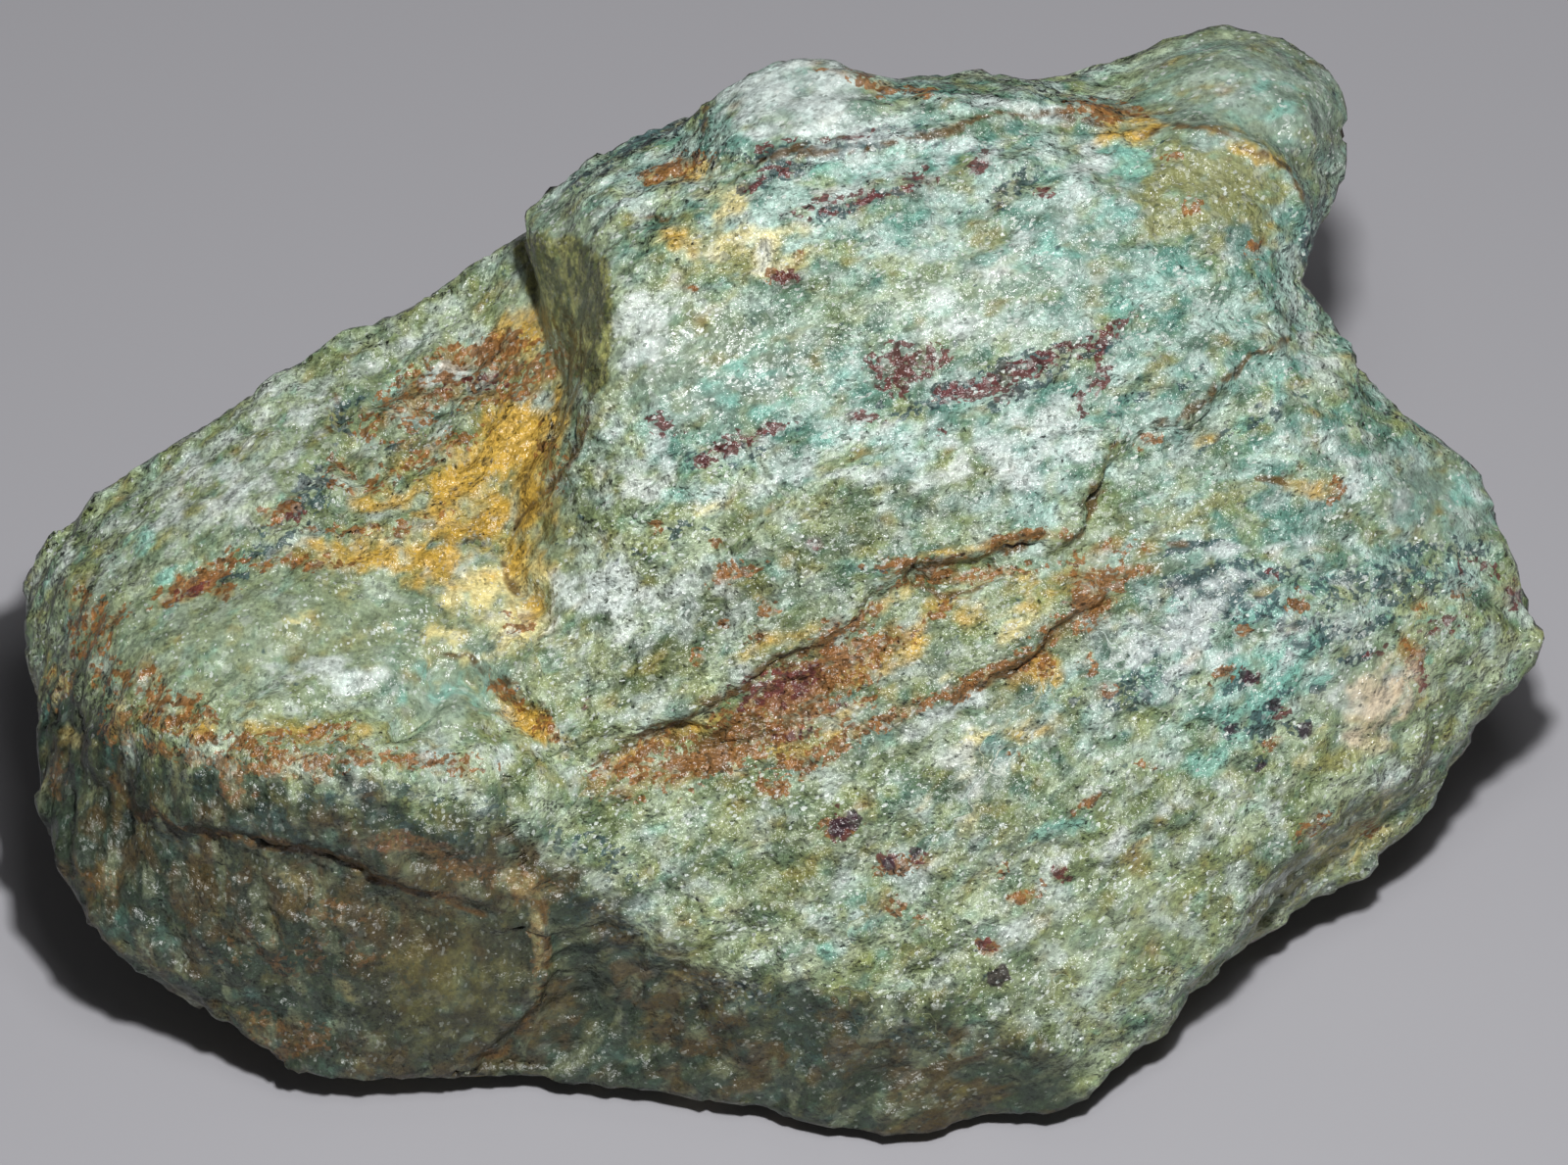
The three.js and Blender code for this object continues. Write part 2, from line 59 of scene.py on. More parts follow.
# The mesh: its cuts and smoothing, the height of its flat underneath, and where above it the relief is
# full.
CUTS_PER_EDGE = 3
SMOOTHING_PASSES = 3
FLAT_HEIGHT = 0.05
RELIEF_FADE = 3.0

# Softening draws the ridges in, and this brings them back out.
PLUMPNESS = 0.2

# How far a surface turns to the camera, from -1 to 1, where each of these starts and is full.
SEEN = (-0.05, 0.12)
CARVED = (0.05, 0.3)
FULL_RELIEF = (0.1, 0.6)
BROAD_FACE = (0.35, 0.8)

# The way through the layers in the high block and in the low one, and where they swing at the high
# block's lower right.
LAYERS_HIGH = Vector((0.25, -0.94, 0.22))
LAYERS_LOW = Vector((0.55, -0.56, 0.62))
LAYERS_SWUNG = Vector((0.46, -0.82, 0.32))

# Where the two blocks meet, in pixels, and behind in millimetres. The change between them is this wide,
# and has waves of this size and height.
BLOCKS_MEET = [
    (500, 200), (515, 250), (555, 340), (570, 380), (605, 415), (590, 460), (560, 500), (530, 530),
    (515, 590), (545, 650), (570, 745), (600, 800), (560, 850), (545, 900), (556, 940), (552, 1013),
    (510, 1180),
]
BLOCKS_MEET_BEHIND = -16.0
BLOCKS_BLEND = 1.2
BLOCKS_WAVES = (3.0, 0.5)

# Ledges, as thickness and height, and as the size and height of the waves in them, in millimetres.
THICK_LEDGES = (2.8, 0.62, 7.0, 1.6)
THIN_LEDGES = (1.1, 0.24, 3.0, 0.8)
LEDGE_RISE = 0.82

# Thick ledges stand in patches of this size, by these limits of noise, and thin ones fill the room
# between.
LEDGE_PATCH_SIZE = 9.0
LEDGE_PATCH = (-0.3, 0.5)
THIN_LEDGES_MOST = 1.2

# Lumps, as length, width and thickness of the largest ones and their height, in millimetres.
LUMPS = [((5.0, 3.0, 2.0), 0.34), ((2.2, 1.3, 0.9), 0.12)]

# Chips, as size, tilt, and how common they are away from the broad face and how much less on it. The last
# two keep their patterns and their tilts apart in the noise.
CHIPS = [(3.6, 0.09, 1.0, 0.45), (1.5, 0.06, 0.95, 0.25)]
CHIP_STEP = 7.3
CHIPS_APART = 30

# Grains that stand out, as size and height in millimetres.
GRAINS = (0.75, 0.05)

# How much of the ledges and lumps is left away from the broad face, and how much of all relief the smooth
# parts lose.
RELIEF_AWAY = 0.65
POLISH_CALMS = 0.85

# The drawn lines and marks are made ragged by noise of this size and reach. The pair keeps noises
# apart.
CRACK_WANDER = (3.0, 0.35, (0, 50))
MARK_WANDER = (2.4, 0.5, (11, 61))
WALL_WANDER = (6.0, 1.4, (35, 45))


def smooth(values, low, high):
    share = np.clip((values - low) / (high - low), 0, 1)
    return share * share * (3 - 2 * share)


def on_face(places):
    return (places - FACE_MIDDLE) @ FACE_AXES.T


def towards_camera(normals, limits):
    """From 0 to 1 as the normals turn to the camera, between these limits."""
    return smooth(normals @ FACE_AXES[2], *limits)


def from_photo(points):
    """Places across and up the broad face, in millimetres, for pixels of the photograph."""
    points = np.asarray(points, float)
    middle = np.array(PHOTO_SIZE) / 2
    return (points - middle) * (1, -1) / PIXELS_PER_MM


def field(function, places):
    return np.array([function(Vector(place)) for place in places])


def fractal(places, size, shift=0, octaves=3):
    """Noise from about -1 to 1 whose largest lumps are this many millimetres across."""
    return field(lambda place: noise.fractal(place, 1.0, 2.0, octaves), (places + shift) / size)


def wander(places, kind):
    size, reach, shifts = kind
    return np.stack([fractal(places, size, shift) for shift in shifts], axis=1) * reach


class Surface:
    """The mesh as arrays, in millimetres, with its normals kept up to date."""

    def __init__(self, source):
        bm = bmesh.new()
        bm.from_mesh(source)
        bmesh.ops.remove_doubles(bm, verts=bm.verts, dist=0.001 * MM)
        bmesh.ops.subdivide_edges(bm, edges=bm.edges, cuts=CUTS_PER_EDGE, use_grid_fill=True)
        bmesh.ops.triangulate(bm, faces=bm.faces)
        bm.verts.index_update()
        self.places = np.array([v.co[:] for v in bm.verts]) / MM
        self.faces = np.array([[v.index for v in face.verts] for face in bm.faces])
        self.edges = np.array([[v.index for v in edge.verts] for edge in bm.edges])
        bm.free()
        self.on_flat = self.places[:, 2] < FLAT_HEIGHT
        self.update()

    def update(self):
        corners = self.places[self.faces]
        across = np.cross(corners[:, 1] - corners[:, 0], corners[:, 2] - corners[:, 0])
        normals = np.zeros_like(self.places)
        for corner in range(3):
            np.add.at(normals, self.faces[:, corner], across)
        self.normals = normals / np.maximum(np.linalg.norm(normals, axis=1), 1e-9)[:, None]

    def spread(self, values, passes):
        """The values, each drawn half way to the mean of its neighbours, this many times."""
        a, b = self.edges.T
        count = np.bincount(np.concatenate([a, b]), minlength=len(self.places))
        for _ in range(passes):
            total = np.zeros_like(values)
            np.add.at(total, a, values[b])
            np.add.at(total, b, values[a])
            mean = (total.T / count).T
            values = (values + mean) / 2
        return values

    def soften(self, passes):
        moved = self.spread(self.places, passes)
        moved[self.on_flat] = self.places[self.on_flat]
        self.places = moved
        self.update()

    def raise_by(self, heights):
        """Moves each point along its normal, less and less towards the flat underneath."""
        share = smooth(self.places[:, 2], FLAT_HEIGHT, RELIEF_FADE)
        share[self.on_flat] = 0
        self.places = self.places + self.normals * (heights * share)[:, None]
        self.places[:, 2] = np.maximum(self.places[:, 2], np.where(self.on_flat, 0, FLAT_HEIGHT))
        self.update()


def layer_axes(normal):
    """The directions along, across and through layers with this normal."""
    normal = np.array(normal.normalized())
    along = np.cross(FACE_AXES[2], normal)
    along /= np.linalg.norm(along)
    return np.array([along, np.cross(normal, along), normal])


def low_share(surface):
    """How much of each place belongs to the low block: 0 or 1, but for a narrow change between them."""
    face = on_face(surface.places)
    corners = from_photo(BLOCKS_MEET)[::-1]
    edge = np.interp(face[:, 1], corners[:, 1], corners[:, 0]) - face[:, 0]
    behind = BLOCKS_MEET_BEHIND - surface.places[:, 0]
    seen = towards_camera(surface.normals, SEEN)
    size, height = BLOCKS_WAVES
    gap = edge * seen + behind * (1 - seen) + height * fractal(surface.places, size)
    return smooth(gap, -BLOCKS_BLEND / 2, BLOCKS_BLEND / 2)


def ledges(places, depth, kind, shift=0):
    """A row of ledges across the layers: each rises slowly and then falls back at once."""
    thickness, height, wave_size, wave_height = kind
    level = (depth + wave_height * fractal(places, wave_size, shift)) / thickness
    share = level - np.floor(level)
    slope = np.where(share < LEDGE_RISE, share / LEDGE_RISE, (1 - share) / (1 - LEDGE_RISE))
    return height * (slope - 0.5)


def chips(places, size, tilt):
    """Small flat breaks: each cell of the surface leans its own way."""
    heights = []
    for place in places / size:
        points = noise.voronoi(Vector(place))[1]
        lean = noise.cell_vector(points[0] * CHIP_STEP)
        heights.append((Vector(place) - points[0]).dot(lean))
    return np.array(heights) * size * tilt


def grains(places, size, height):
    """Rounded grains that touch each other."""
    nearest = field(lambda place: noise.voronoi(place)[0][0], places / size)
    return height * (0.5 - nearest)


def distance_to(line, spots):
    """How far each spot lies from a line through pixels, on which side, and how far from its ends."""
    corners = from_photo(line)
    best = np.full(len(spots), np.inf)
    side = np.zeros(len(spots))
    for a, b in zip(corners[:-1], corners[1:]):
        run = b - a
        share = np.clip(((spots - a) @ run) / (run @ run), 0, 1)
        gap = spots - (a + share[:, None] * run)
        distance = np.linalg.norm(gap, axis=1)
        nearer = distance < best
        best = np.where(nearer, distance, best)
        side = np.where(nearer, np.sign(run[0] * gap[:, 1] - run[1] * gap[:, 0]), side)
    to_ends = [np.linalg.norm(spots - corner, axis=1) for corner in (corners[0], corners[-1])]
    return best, side, np.minimum(*to_ends)


# Narrow grooves, as depth and half width in millimetres and the pixels that they pass.
GROOVES = [
    (0.45, 0.35, [(660, 762), (700, 745), (740, 760), (790, 745), (832, 718)]),
    (0.5, 0.4, [(905, 583), (925, 580), (940, 600), (962, 612), (1000, 600), (1042, 580)]),
    (0.45, 0.35, [(862, 655), (885, 635), (905, 608), (922, 588)]),
    (0.5, 0.4, [(750, 702), (775, 690), (800, 667), (838, 655)]),
    (0.5, 0.4, [(960, 715), (1000, 700), (1040, 680), (1060, 662)]),
    (0.3, 0.3, [(1000, 560), (1030, 560), (1065, 556)]),
    (0.55, 0.4, [
        (102, 769), (133, 825), (184, 845), (245, 855), (286, 863), (327, 870), (352, 876), (383, 896),
        (413, 909), (449, 914), (510, 937),
    ]),
    (0.6, 0.45, [(551, 1013), (541, 1039), (510, 1072), (474, 1087)]),
    (0.8, 0.35, [(480, 668), (502, 690), (535, 710), (572, 745)]),
    (0.4, 0.35, [(597, 797), (619, 771), (655, 751), (700, 735), (757, 700)]),
    (0.35, 0.3, [(690, 770), (730, 752), (760, 735), (800, 728)]),
    (0.35, 0.3, [(790, 690), (834, 659), (874, 640), (905, 583)]),
    (0.35, 0.35, [(605, 405), (590, 460), (560, 500), (532, 520), (518, 560), (515, 590), (545, 620)]),
    (0.35, 0.35, [(640, 760), (610, 780), (592, 800)]),
    (0.3, 0.3, [(1165, 556), (1190, 552), (1225, 562)]),
    (0.3, 0.3, [(1330, 450), (1325, 490), (1290, 492), (1262, 488)]),
    (0.35, 0.3, [(1090, 545), (1110, 520), (1130, 500), (1140, 492)]),
    (0.3, 0.3, [(870, 130), (830, 145), (780, 160), (735, 172)]),
    (0.35, 0.35, [(640, 225), (680, 222), (700, 212)]),
]

# Drops: the surface to the right of the line, as it is drawn, lies lower by this many millimetres, and
# comes back over that reach.
DROPS = [
    (0.7, 6.0, [(338, 500), (336, 470), (334, 440), (337, 415), (345, 395), (360, 380)]),
    (2.0, 5.0, [(415, 710), (441, 662), (480, 668), (502, 690), (535, 710), (572, 745)]),
    (0.4, 5.0, [
        (597, 797), (619, 771), (655, 751), (700, 735), (757, 700), (788, 669), (834, 659), (874, 640),
        (905, 583),
    ]),
    (0.9, 5.0, [
        (905, 583), (941, 578), (992, 565), (1053, 547), (1079, 552), (1104, 542), (1114, 506), (1135, 455),
    ]),
    (0.45, 5.0, [
        (1114, 506), (1135, 455), (1165, 435), (1208, 429), (1259, 378), (1295, 357), (1326, 332),
    ]),
    (0.7, 4.0, [(955, 715), (992, 705), (1028, 685), (1053, 669), (1073, 644), (1099, 623), (1114, 598)]),
    (1.1, 5.0, [
        (102, 769), (133, 825), (184, 845), (245, 855), (286, 863), (327, 870), (352, 876), (383, 896),
        (413, 909), (449, 914), (510, 937),
    ]),
    (0.9, 6.0, [(474, 1087), (510, 1072), (541, 1039), (551, 1013), (556, 978), (556, 937), (541, 896)]),
    (0.6, 5.0, [(726, 80), (720, 105), (719, 130), (722, 155)]),
    (0.5, 4.0, [(765, 170), (800, 165), (870, 150), (940, 140), (1000, 120), (1080, 112), (1140, 135)]),
    (0.5, 4.0, [(1147, 140), (1188, 128), (1234, 130), (1290, 153), (1310, 173), (1326, 194), (1336, 219)]),
]

# How far grooves and drops taper out towards their ends, and how soon a drop falls beside its line.
GROOVE_TAPER = 1.5
DROP_TAPER = 2.0
DROP_EDGE = 0.5

# Drops vary along their lines: the size of that noise, its limits, and the least share and what is added
# to it.
DROP_NOISE = 5.0
DROP_LIMITS = (-0.45, 0.35)
DROP_SHARES = (0.5, 0.7)


def carve(surface):
    """The cracks and small steps that the photograph shows, on the side that faces it."""
    places = surface.places
    spots = on_face(places)[:, :2] + wander(places, CRACK_WANDER)
    heights = np.zeros(len(spots))
    least, more = DROP_SHARES
    vary = least + more * smooth(fractal(places, DROP_NOISE, shift=70), *DROP_LIMITS)
    for depth, width, line in GROOVES:
        distance, _, ends = distance_to(line, spots)
        heights -= depth * np.exp(-(distance / width) ** 2) * smooth(ends, 0, GROOVE_TAPER)
    for depth, reach, line in DROPS:
        distance, side, ends = distance_to(line, spots)
        fall = (1 - smooth(distance, 0, reach)) * smooth(distance, 0, DROP_EDGE)
        heights -= vary * depth * np.where(side < 0, fall, 0) * smooth(ends, 0, DROP_TAPER)
    surface.raise_by(heights * towards_camera(surface.normals, CARVED))


def layered_relief(places, layers):
    """Ledges along the edges of the layers, and long low ridges between them."""
    patchy = smooth(fractal(places, LEDGE_PATCH_SIZE, shift=90), *LEDGE_PATCH)
    heights = ledges(places, layers[:, 2], THICK_LEDGES) * patchy
    heights += ledges(places, layers[:, 2], THIN_LEDGES, shift=20) * (THIN_LEDGES_MOST - patchy)
    for size, height in LUMPS:
        heights += height * fractal(layers / size, 1.0)
    return heights


def break_up(surface):
    """The broken relief of the rock, from swells of a few millimetres down to its grains."""
    places = surface.places
    facing = towards_camera(surface.normals, BROAD_FACE)
    full = RELIEF_AWAY + (1 - RELIEF_AWAY) * towards_camera(surface.normals, FULL_RELIEF)
    polish = blot(on_face(places)[:, :2], REGIONS["polish"], POLISH_SOFTNESS)
    rough = 1 - POLISH_CALMS * polish * towards_camera(surface.normals, SEEN)
    low = low_share(surface)
    heights = layered_relief(places, places @ layer_axes(LAYERS_HIGH).T) * (1 - low)
    heights += layered_relief(places, places @ layer_axes(LAYERS_LOW).T) * low
    surface.raise_by(heights * full * rough + PLUMPNESS)
    for number, (size, tilt, common, less) in enumerate(CHIPS):
        lift = chips(surface.places + CHIPS_APART * number, size, tilt) * (common - less * facing)
        surface.raise_by(lift * rough)
    surface.raise_by(grains(surface.places, *GRAINS) * rough)


# Marks, each as the pixel in its middle, half its length and half its width in pixels, its turn in
# degrees anticlockwise, and how strong it is in tenths.
MARKS = {
    "rust": [
        (505, 703, 36, 6, -38, 10), (560, 745, 16, 8, -50, 8), (190, 745, 70, 8, -15, 7),
        (420, 772, 90, 7, -6, 8), (120, 745, 20, 30, 0, 5), (250, 780, 90, 9, -8, 7),
        (150, 700, 14, 30, 10, 5), (90, 640, 24, 34, 0, 6), (180, 718, 40, 9, -25, 7),
        (310, 755, 60, 8, -8, 6), (460, 785, 50, 7, -5, 5), (560, 470, 14, 40, 10, 5),
        (450, 455, 50, 16, 30, 5.5), (395, 480, 40, 14, 35, 5), (430, 530, 40, 10, 25, 5),
        (520, 380, 60, 20, 10, 6), (700, 760, 60, 14, 20, 6), (860, 640, 60, 12, 30, 6),
        (900, 740, 60, 14, 30, 4.5), (1075, 640, 60, 12, 35, 7), (660, 790, 50, 12, 20, 4),
        (1130, 560, 46, 12, 10, 5), (940, 575, 60, 6, 5, 7), (530, 900, 36, 14, -10, 5),
        (430, 400, 60, 26, 35, 7), (500, 360, 45, 16, 20, 9), (385, 425, 30, 14, 20, 6),
        (505, 400, 50, 12, 5, 8), (285, 520, 22, 12, 20, 8), (200, 592, 44, 12, 32, 10),
        (232, 606, 16, 7, 10, 9), (122, 630, 16, 8, 60, 7), (300, 575, 55, 8, 3, 7),
        (350, 540, 34, 7, 0, 6), (345, 480, 14, 20, 0, 5), (530, 635, 14, 14, 0, 7),
        (170, 725, 26, 7, -25, 9), (205, 715, 22, 5, -30, 7), (160, 762, 26, 6, -25, 9),
        (280, 770, 70, 6, -12, 9), (370, 775, 34, 6, -4, 8), (340, 745, 20, 8, 10, 7),
        (240, 800, 26, 16, -15, 6), (420, 862, 36, 10, -8, 8), (480, 890, 44, 14, -25, 7),
        (535, 905, 20, 20, -30, 6), (330, 925, 60, 12, -12, 4), (300, 975, 90, 26, -5, 3.5),
        (550, 960, 10, 50, 0, 6), (100, 895, 30, 12, -10, 5), (60, 790, 12, 22, 0, 5),
        (290, 1060, 60, 26, -10, 4.5), (745, 585, 22, 10, 25, 9), (668, 539, 9, 7, 0, 10),
        (735, 558, 12, 8, 0, 6), (770, 575, 14, 7, 10, 7), (783, 622, 12, 11, 0, 8), (714, 670, 8, 8, 0, 9),
        (770, 650, 14, 7, 20, 7), (740, 632, 9, 7, 0, 7), (750, 760, 120, 24, 20, 9),
        (820, 700, 90, 26, 27, 10), (880, 665, 60, 16, 22, 10), (640, 775, 46, 9, 33, 10),
        (985, 585, 80, 9, 6, 9), (1045, 550, 40, 7, 10, 8), (1130, 590, 46, 16, 15, 8),
        (1110, 620, 24, 20, 40, 9), (1000, 695, 60, 9, 22, 10), (1065, 675, 16, 12, 30, 10),
        (940, 640, 60, 8, 35, 6), (830, 770, 60, 16, 30, 6), (790, 800, 18, 12, 0, 7),
        (705, 800, 20, 14, 40, 5), (862, 838, 20, 13, 20, 7), (915, 885, 26, 10, 10, 7),
        (1050, 912, 22, 7, 30, 8), (1020, 893, 10, 8, 0, 7), (1010, 965, 9, 9, 0, 9),
        (925, 930, 24, 14, -30, 4), (1110, 820, 24, 3, 40, 9), (1030, 765, 8, 6, 0, 8),
        (1170, 780, 10, 6, 20, 8), (1325, 615, 12, 10, 0, 8), (1265, 640, 10, 7, 0, 7),
        (1440, 670, 10, 16, 20, 9), (1490, 605, 10, 12, 0, 8), (1450, 620, 8, 8, 0, 7),
        (1250, 690, 12, 9, 0, 9), (1300, 760, 14, 6, 20, 7), (1130, 700, 12, 8, 0, 6),
        (1110, 680, 10, 14, 0, 7), (1170, 450, 14, 9, 0, 8), (1365, 500, 12, 14, 0, 6),
        (1215, 207, 10, 10, 0, 8), (1283, 250, 14, 10, -30, 7), (815, 263, 9, 7, 0, 8),
        (706, 294, 6, 5, 0, 9), (795, 282, 16, 9, 0, 7), (1125, 112, 40, 12, -5, 9),
        (905, 88, 60, 6, -14, 8), (690, 168, 36, 9, 15, 9), (1195, 160, 12, 8, 0, 6),
        (1340, 840, 26, 12, 30, 5), (1400, 845, 20, 10, 20, 5), (80, 610, 26, 14, -20, 5),
        (60, 700, 20, 30, -10, 3.5), (120, 690, 26, 20, 0, 4),
    ],
    "ochre": [
        (542, 738, 44, 13, -38, 8), (700, 745, 70, 10, 22, 7), (880, 690, 60, 14, 30, 5.5),
        (930, 650, 50, 14, 40, 5.5), (1000, 560, 70, 6, 8, 7), (1060, 600, 40, 20, 20, 5),
        (800, 770, 70, 14, 25, 5), (1060, 690, 30, 20, 20, 6), (1240, 445, 40, 8, 15, 4),
        (1000, 900, 40, 12, 40, 3.5), (1170, 860, 30, 8, 40, 4), (950, 815, 30, 10, 40, 4),
        (470, 510, 70, 50, 30, 7), (530, 500, 30, 60, 10, 8), (455, 590, 80, 12, 4, 6),
        (860, 720, 80, 20, 30, 4), (790, 660, 60, 16, 25, 4), (1000, 620, 90, 20, 15, 3.5),
        (330, 745, 80, 12, -5, 4), (1100, 600, 60, 30, 20, 4), (555, 400, 24, 50, 20, 5),
        (560, 560, 14, 50, 5, 4), (190, 735, 50, 12, -20, 4), (520, 450, 46, 44, 0, 10),
        (480, 480, 60, 30, 35, 9), (500, 520, 46, 30, 30, 9), (420, 570, 90, 14, 3, 9),
        (400, 500, 44, 26, 30, 6), (530, 330, 34, 26, -20, 7), (475, 545, 40, 16, 10, 5),
        (340, 560, 60, 12, 5, 6), (525, 570, 22, 30, 0, 7), (700, 250, 26, 14, -30, 6),
        (560, 760, 26, 12, -40, 5), (920, 670, 40, 14, 35, 5), (1434, 706, 26, 7, 80, 5),
        (1150, 130, 44, 18, 0, 7), (1275, 150, 44, 12, -25, 6), (1330, 500, 40, 10, -5, 6),
        (970, 800, 30, 14, 30, 4), (260, 740, 50, 12, -5, 4.5), (420, 500, 120, 60, 30, 3.5),
        (540, 610, 20, 40, 0, 5), (120, 745, 14, 16, 0, 4), (1080, 590, 60, 22, 12, 4.5),
        (1050, 735, 30, 22, 20, 4), (700, 175, 46, 12, 12, 6), (1290, 235, 30, 24, 0, 4),
        (55, 690, 18, 12, -20, 5), (75, 755, 16, 9, -10, 6), (960, 620, 70, 14, 25, 4),
        (1460, 715, 26, 8, 35, 3),
    ],
    "maroon": [
        (925, 375, 36, 22, 15, 9.2), (1060, 370, 60, 11, 27, 8.2), (1120, 345, 46, 9, 30, 8.2),
        (1000, 395, 50, 10, 12, 8.2), (1120, 385, 14, 22, 0, 5.5), (1020, 400, 22, 10, 10, 7.3),
        (745, 455, 22, 10, 35, 8.2), (680, 432, 24, 11, -5, 7.3), (785, 440, 26, 9, 20, 6.5),
        (720, 472, 12, 5, -10, 10), (880, 430, 18, 8, 5, 7.3), (790, 145, 26, 4, 8, 7.3),
        (850, 138, 40, 4, 8, 8.2), (780, 180, 30, 8, 25, 7.3), (870, 205, 60, 9, 12, 6.5),
        (940, 180, 18, 11, 0, 7.3), (1000, 165, 12, 8, 60, 9.4), (1065, 200, 9, 6, 0, 10),
        (800, 282, 12, 7, 0, 10), (860, 840, 14, 15, 0, 9.2), (905, 882, 9, 9, 0, 10),
        (935, 875, 12, 7, 20, 10), (1085, 890, 7, 7, 0, 10), (800, 700, 50, 18, 25, 6.5),
        (820, 740, 60, 12, 25, 3.6), (1310, 725, 10, 8, 0, 10), (1275, 690, 7, 9, 0, 10),
        (1400, 668, 26, 5, 35, 6.5), (1450, 690, 6, 12, 25, 10), (1520, 580, 30, 10, -10, 5.5),
        (1300, 590, 8, 8, 0, 9.4), (1470, 640, 30, 10, 10, 5.5), (600, 720, 5, 5, 0, 10),
        (195, 600, 22, 11, 32, 4.6), (480, 390, 40, 9, 8, 5.5), (300, 530, 16, 10, 30, 5.5),
        (960, 440, 8, 5, 0, 9.4), (835, 555, 5, 4, 0, 10), (1010, 962, 7, 6, 0, 9.4),
        (765, 700, 20, 12, 15, 7.3), (1100, 410, 8, 14, 0, 6.8), (400, 860, 24, 10, -5, 4.6),
        (1545, 610, 9, 14, 20, 8.1),
    ],
    "teal": [
        (1250, 700, 30, 10, 30, 7), (1330, 690, 30, 14, 20, 8), (1210, 610, 40, 10, 20, 5),
        (1450, 630, 50, 8, 10, 5), (1310, 670, 50, 34, 35, 8.5), (1280, 730, 44, 24, 30, 8.5),
        (1230, 770, 50, 20, 25, 6), (1290, 630, 30, 18, 0, 9), (1330, 600, 40, 16, 10, 7),
        (1270, 432, 24, 14, 0, 9), (1300, 400, 30, 20, 30, 5), (1150, 165, 26, 22, 0, 8),
        (175, 582, 26, 9, 30, 9), (130, 560, 30, 14, 30, 5), (800, 408, 46, 9, 28, 9),
        (870, 165, 60, 16, 8, 8), (960, 150, 60, 14, -8, 8), (930, 215, 40, 14, 10, 5),
        (1100, 240, 70, 20, 28, 5), (1180, 300, 70, 22, 28, 4), (840, 395, 60, 14, 15, 6),
        (760, 385, 70, 24, 10, 5), (900, 440, 80, 14, 15, 6), (1050, 470, 60, 14, 12, 4),
        (1490, 500, 20, 16, -40, 6), (1430, 545, 50, 16, 15, 4), (1190, 690, 40, 16, 30, 5),
        (1080, 840, 50, 14, 45, 5), (860, 960, 50, 12, 30, 4), (1380, 400, 40, 16, -40, 4),
        (465, 700, 50, 34, 20, 4), (160, 965, 30, 14, -20, 8), (130, 930, 30, 10, -20, 5),
        (260, 1020, 26, 12, -20, 5), (430, 700, 30, 30, 0, 3.5), (1450, 590, 60, 14, 10, 5),
        (1290, 100, 60, 30, 0, 3.5), (700, 500, 60, 26, 10, 3), (560, 690, 30, 18, 0, 3),
        (330, 470, 12, 30, -30, 4),
    ],
    # Blue-black minerals; the thin line in the crevice under the split scale and the dark strip by the
    # notch are painted shade instead.
    "blue": [
        (665, 133, 60, 10, 22, 9), (700, 118, 24, 6, 30, 8), (600, 180, 30, 8, 35, 6),
        (1338, 260, 7, 50, 0, 9), (850, 145, 70, 7, 10, 11), (790, 178, 36, 6, 25, 10),
        (880, 205, 46, 6, 20, 10), (1110, 360, 40, 6, 28, 10), (1250, 600, 60, 8, 8, 11),
        (1200, 640, 30, 8, 25, 10), (1400, 590, 70, 8, 5, 10), (1340, 655, 30, 8, 20, 10),
        (538, 722, 44, 3, -38, 10), (410, 455, 18, 7, 30, 10), (485, 545, 22, 12, 30, 10),
        (395, 810, 80, 7, -5, 5.5), (200, 800, 60, 10, -12, 5), (330, 812, 60, 8, -4, 5),
        (480, 825, 50, 8, -8, 5), (275, 840, 24, 14, -20, 10), (172, 842, 14, 8, 0, 10),
        (1230, 590, 40, 14, 10, 9), (1290, 620, 24, 14, 0, 8), (1370, 600, 60, 6, 10, 8),
        (1330, 740, 10, 8, 0, 10), (1255, 745, 8, 8, 0, 10), (1300, 720, 9, 6, 0, 10),
        (1345, 700, 8, 6, 0, 10), (1320, 660, 9, 7, 0, 10), (1285, 780, 8, 6, 0, 10),
        (1400, 640, 30, 6, 20, 8), (1480, 580, 40, 6, -10, 7), (1240, 610, 50, 24, 20, 9),
        (1300, 590, 40, 12, 15, 8), (1340, 640, 30, 12, 0, 9), (1290, 742, 14, 14, 0, 10),
        (1260, 700, 14, 9, 0, 8), (1380, 672, 26, 7, 25, 9), (1160, 700, 60, 16, 15, 6),
        (1200, 660, 50, 12, 20, 7), (1500, 560, 30, 12, 0, 6), (1420, 605, 60, 12, 10, 7),
        (1450, 560, 50, 8, 15, 7), (840, 150, 90, 9, 8, 9), (800, 175, 50, 8, 22, 7),
        (900, 200, 40, 7, 25, 8), (1040, 190, 30, 14, 30, 7), (950, 145, 90, 5, -8, 7),
        (1010, 385, 90, 9, 22, 7), (1050, 395, 46, 7, 25, 8), (940, 410, 70, 10, 15, 6),
        (750, 460, 60, 14, 15, 5), (490, 540, 26, 14, 35, 10), (452, 550, 12, 12, 0, 7),
        (405, 455, 16, 8, 20, 8), (310, 510, 44, 16, 40, 8), (350, 420, 16, 26, -20, 6),
        (270, 560, 44, 9, 30, 6), (240, 590, 26, 8, 20, 6), (460, 415, 26, 9, 5, 5),
        (1220, 560, 46, 4, 3, 10), (700, 540, 26, 9, 0, 5), (850, 660, 24, 9, 0, 7),
        (780, 740, 30, 6, 10, 7), (1310, 700, 8, 8, 0, 9), (640, 560, 40, 16, 30, 3),
        (1180, 400, 80, 10, 28, 3.5), (1280, 430, 60, 10, 25, 4), (280, 850, 60, 16, -10, 6),
        (170, 850, 40, 14, -15, 6), (440, 850, 60, 14, -10, 5), (600, 870, 50, 20, -30, 5),
        (620, 940, 60, 20, -35, 6), (760, 1020, 70, 14, -15, 6), (890, 1050, 70, 14, -12, 7),
        (850, 1080, 60, 16, -10, 5),
    ],
    # Milky quartz and white veins, and in part painted sheen and glints, as on the brow's edge and the
    # glinting patch near the top.
    "white": [
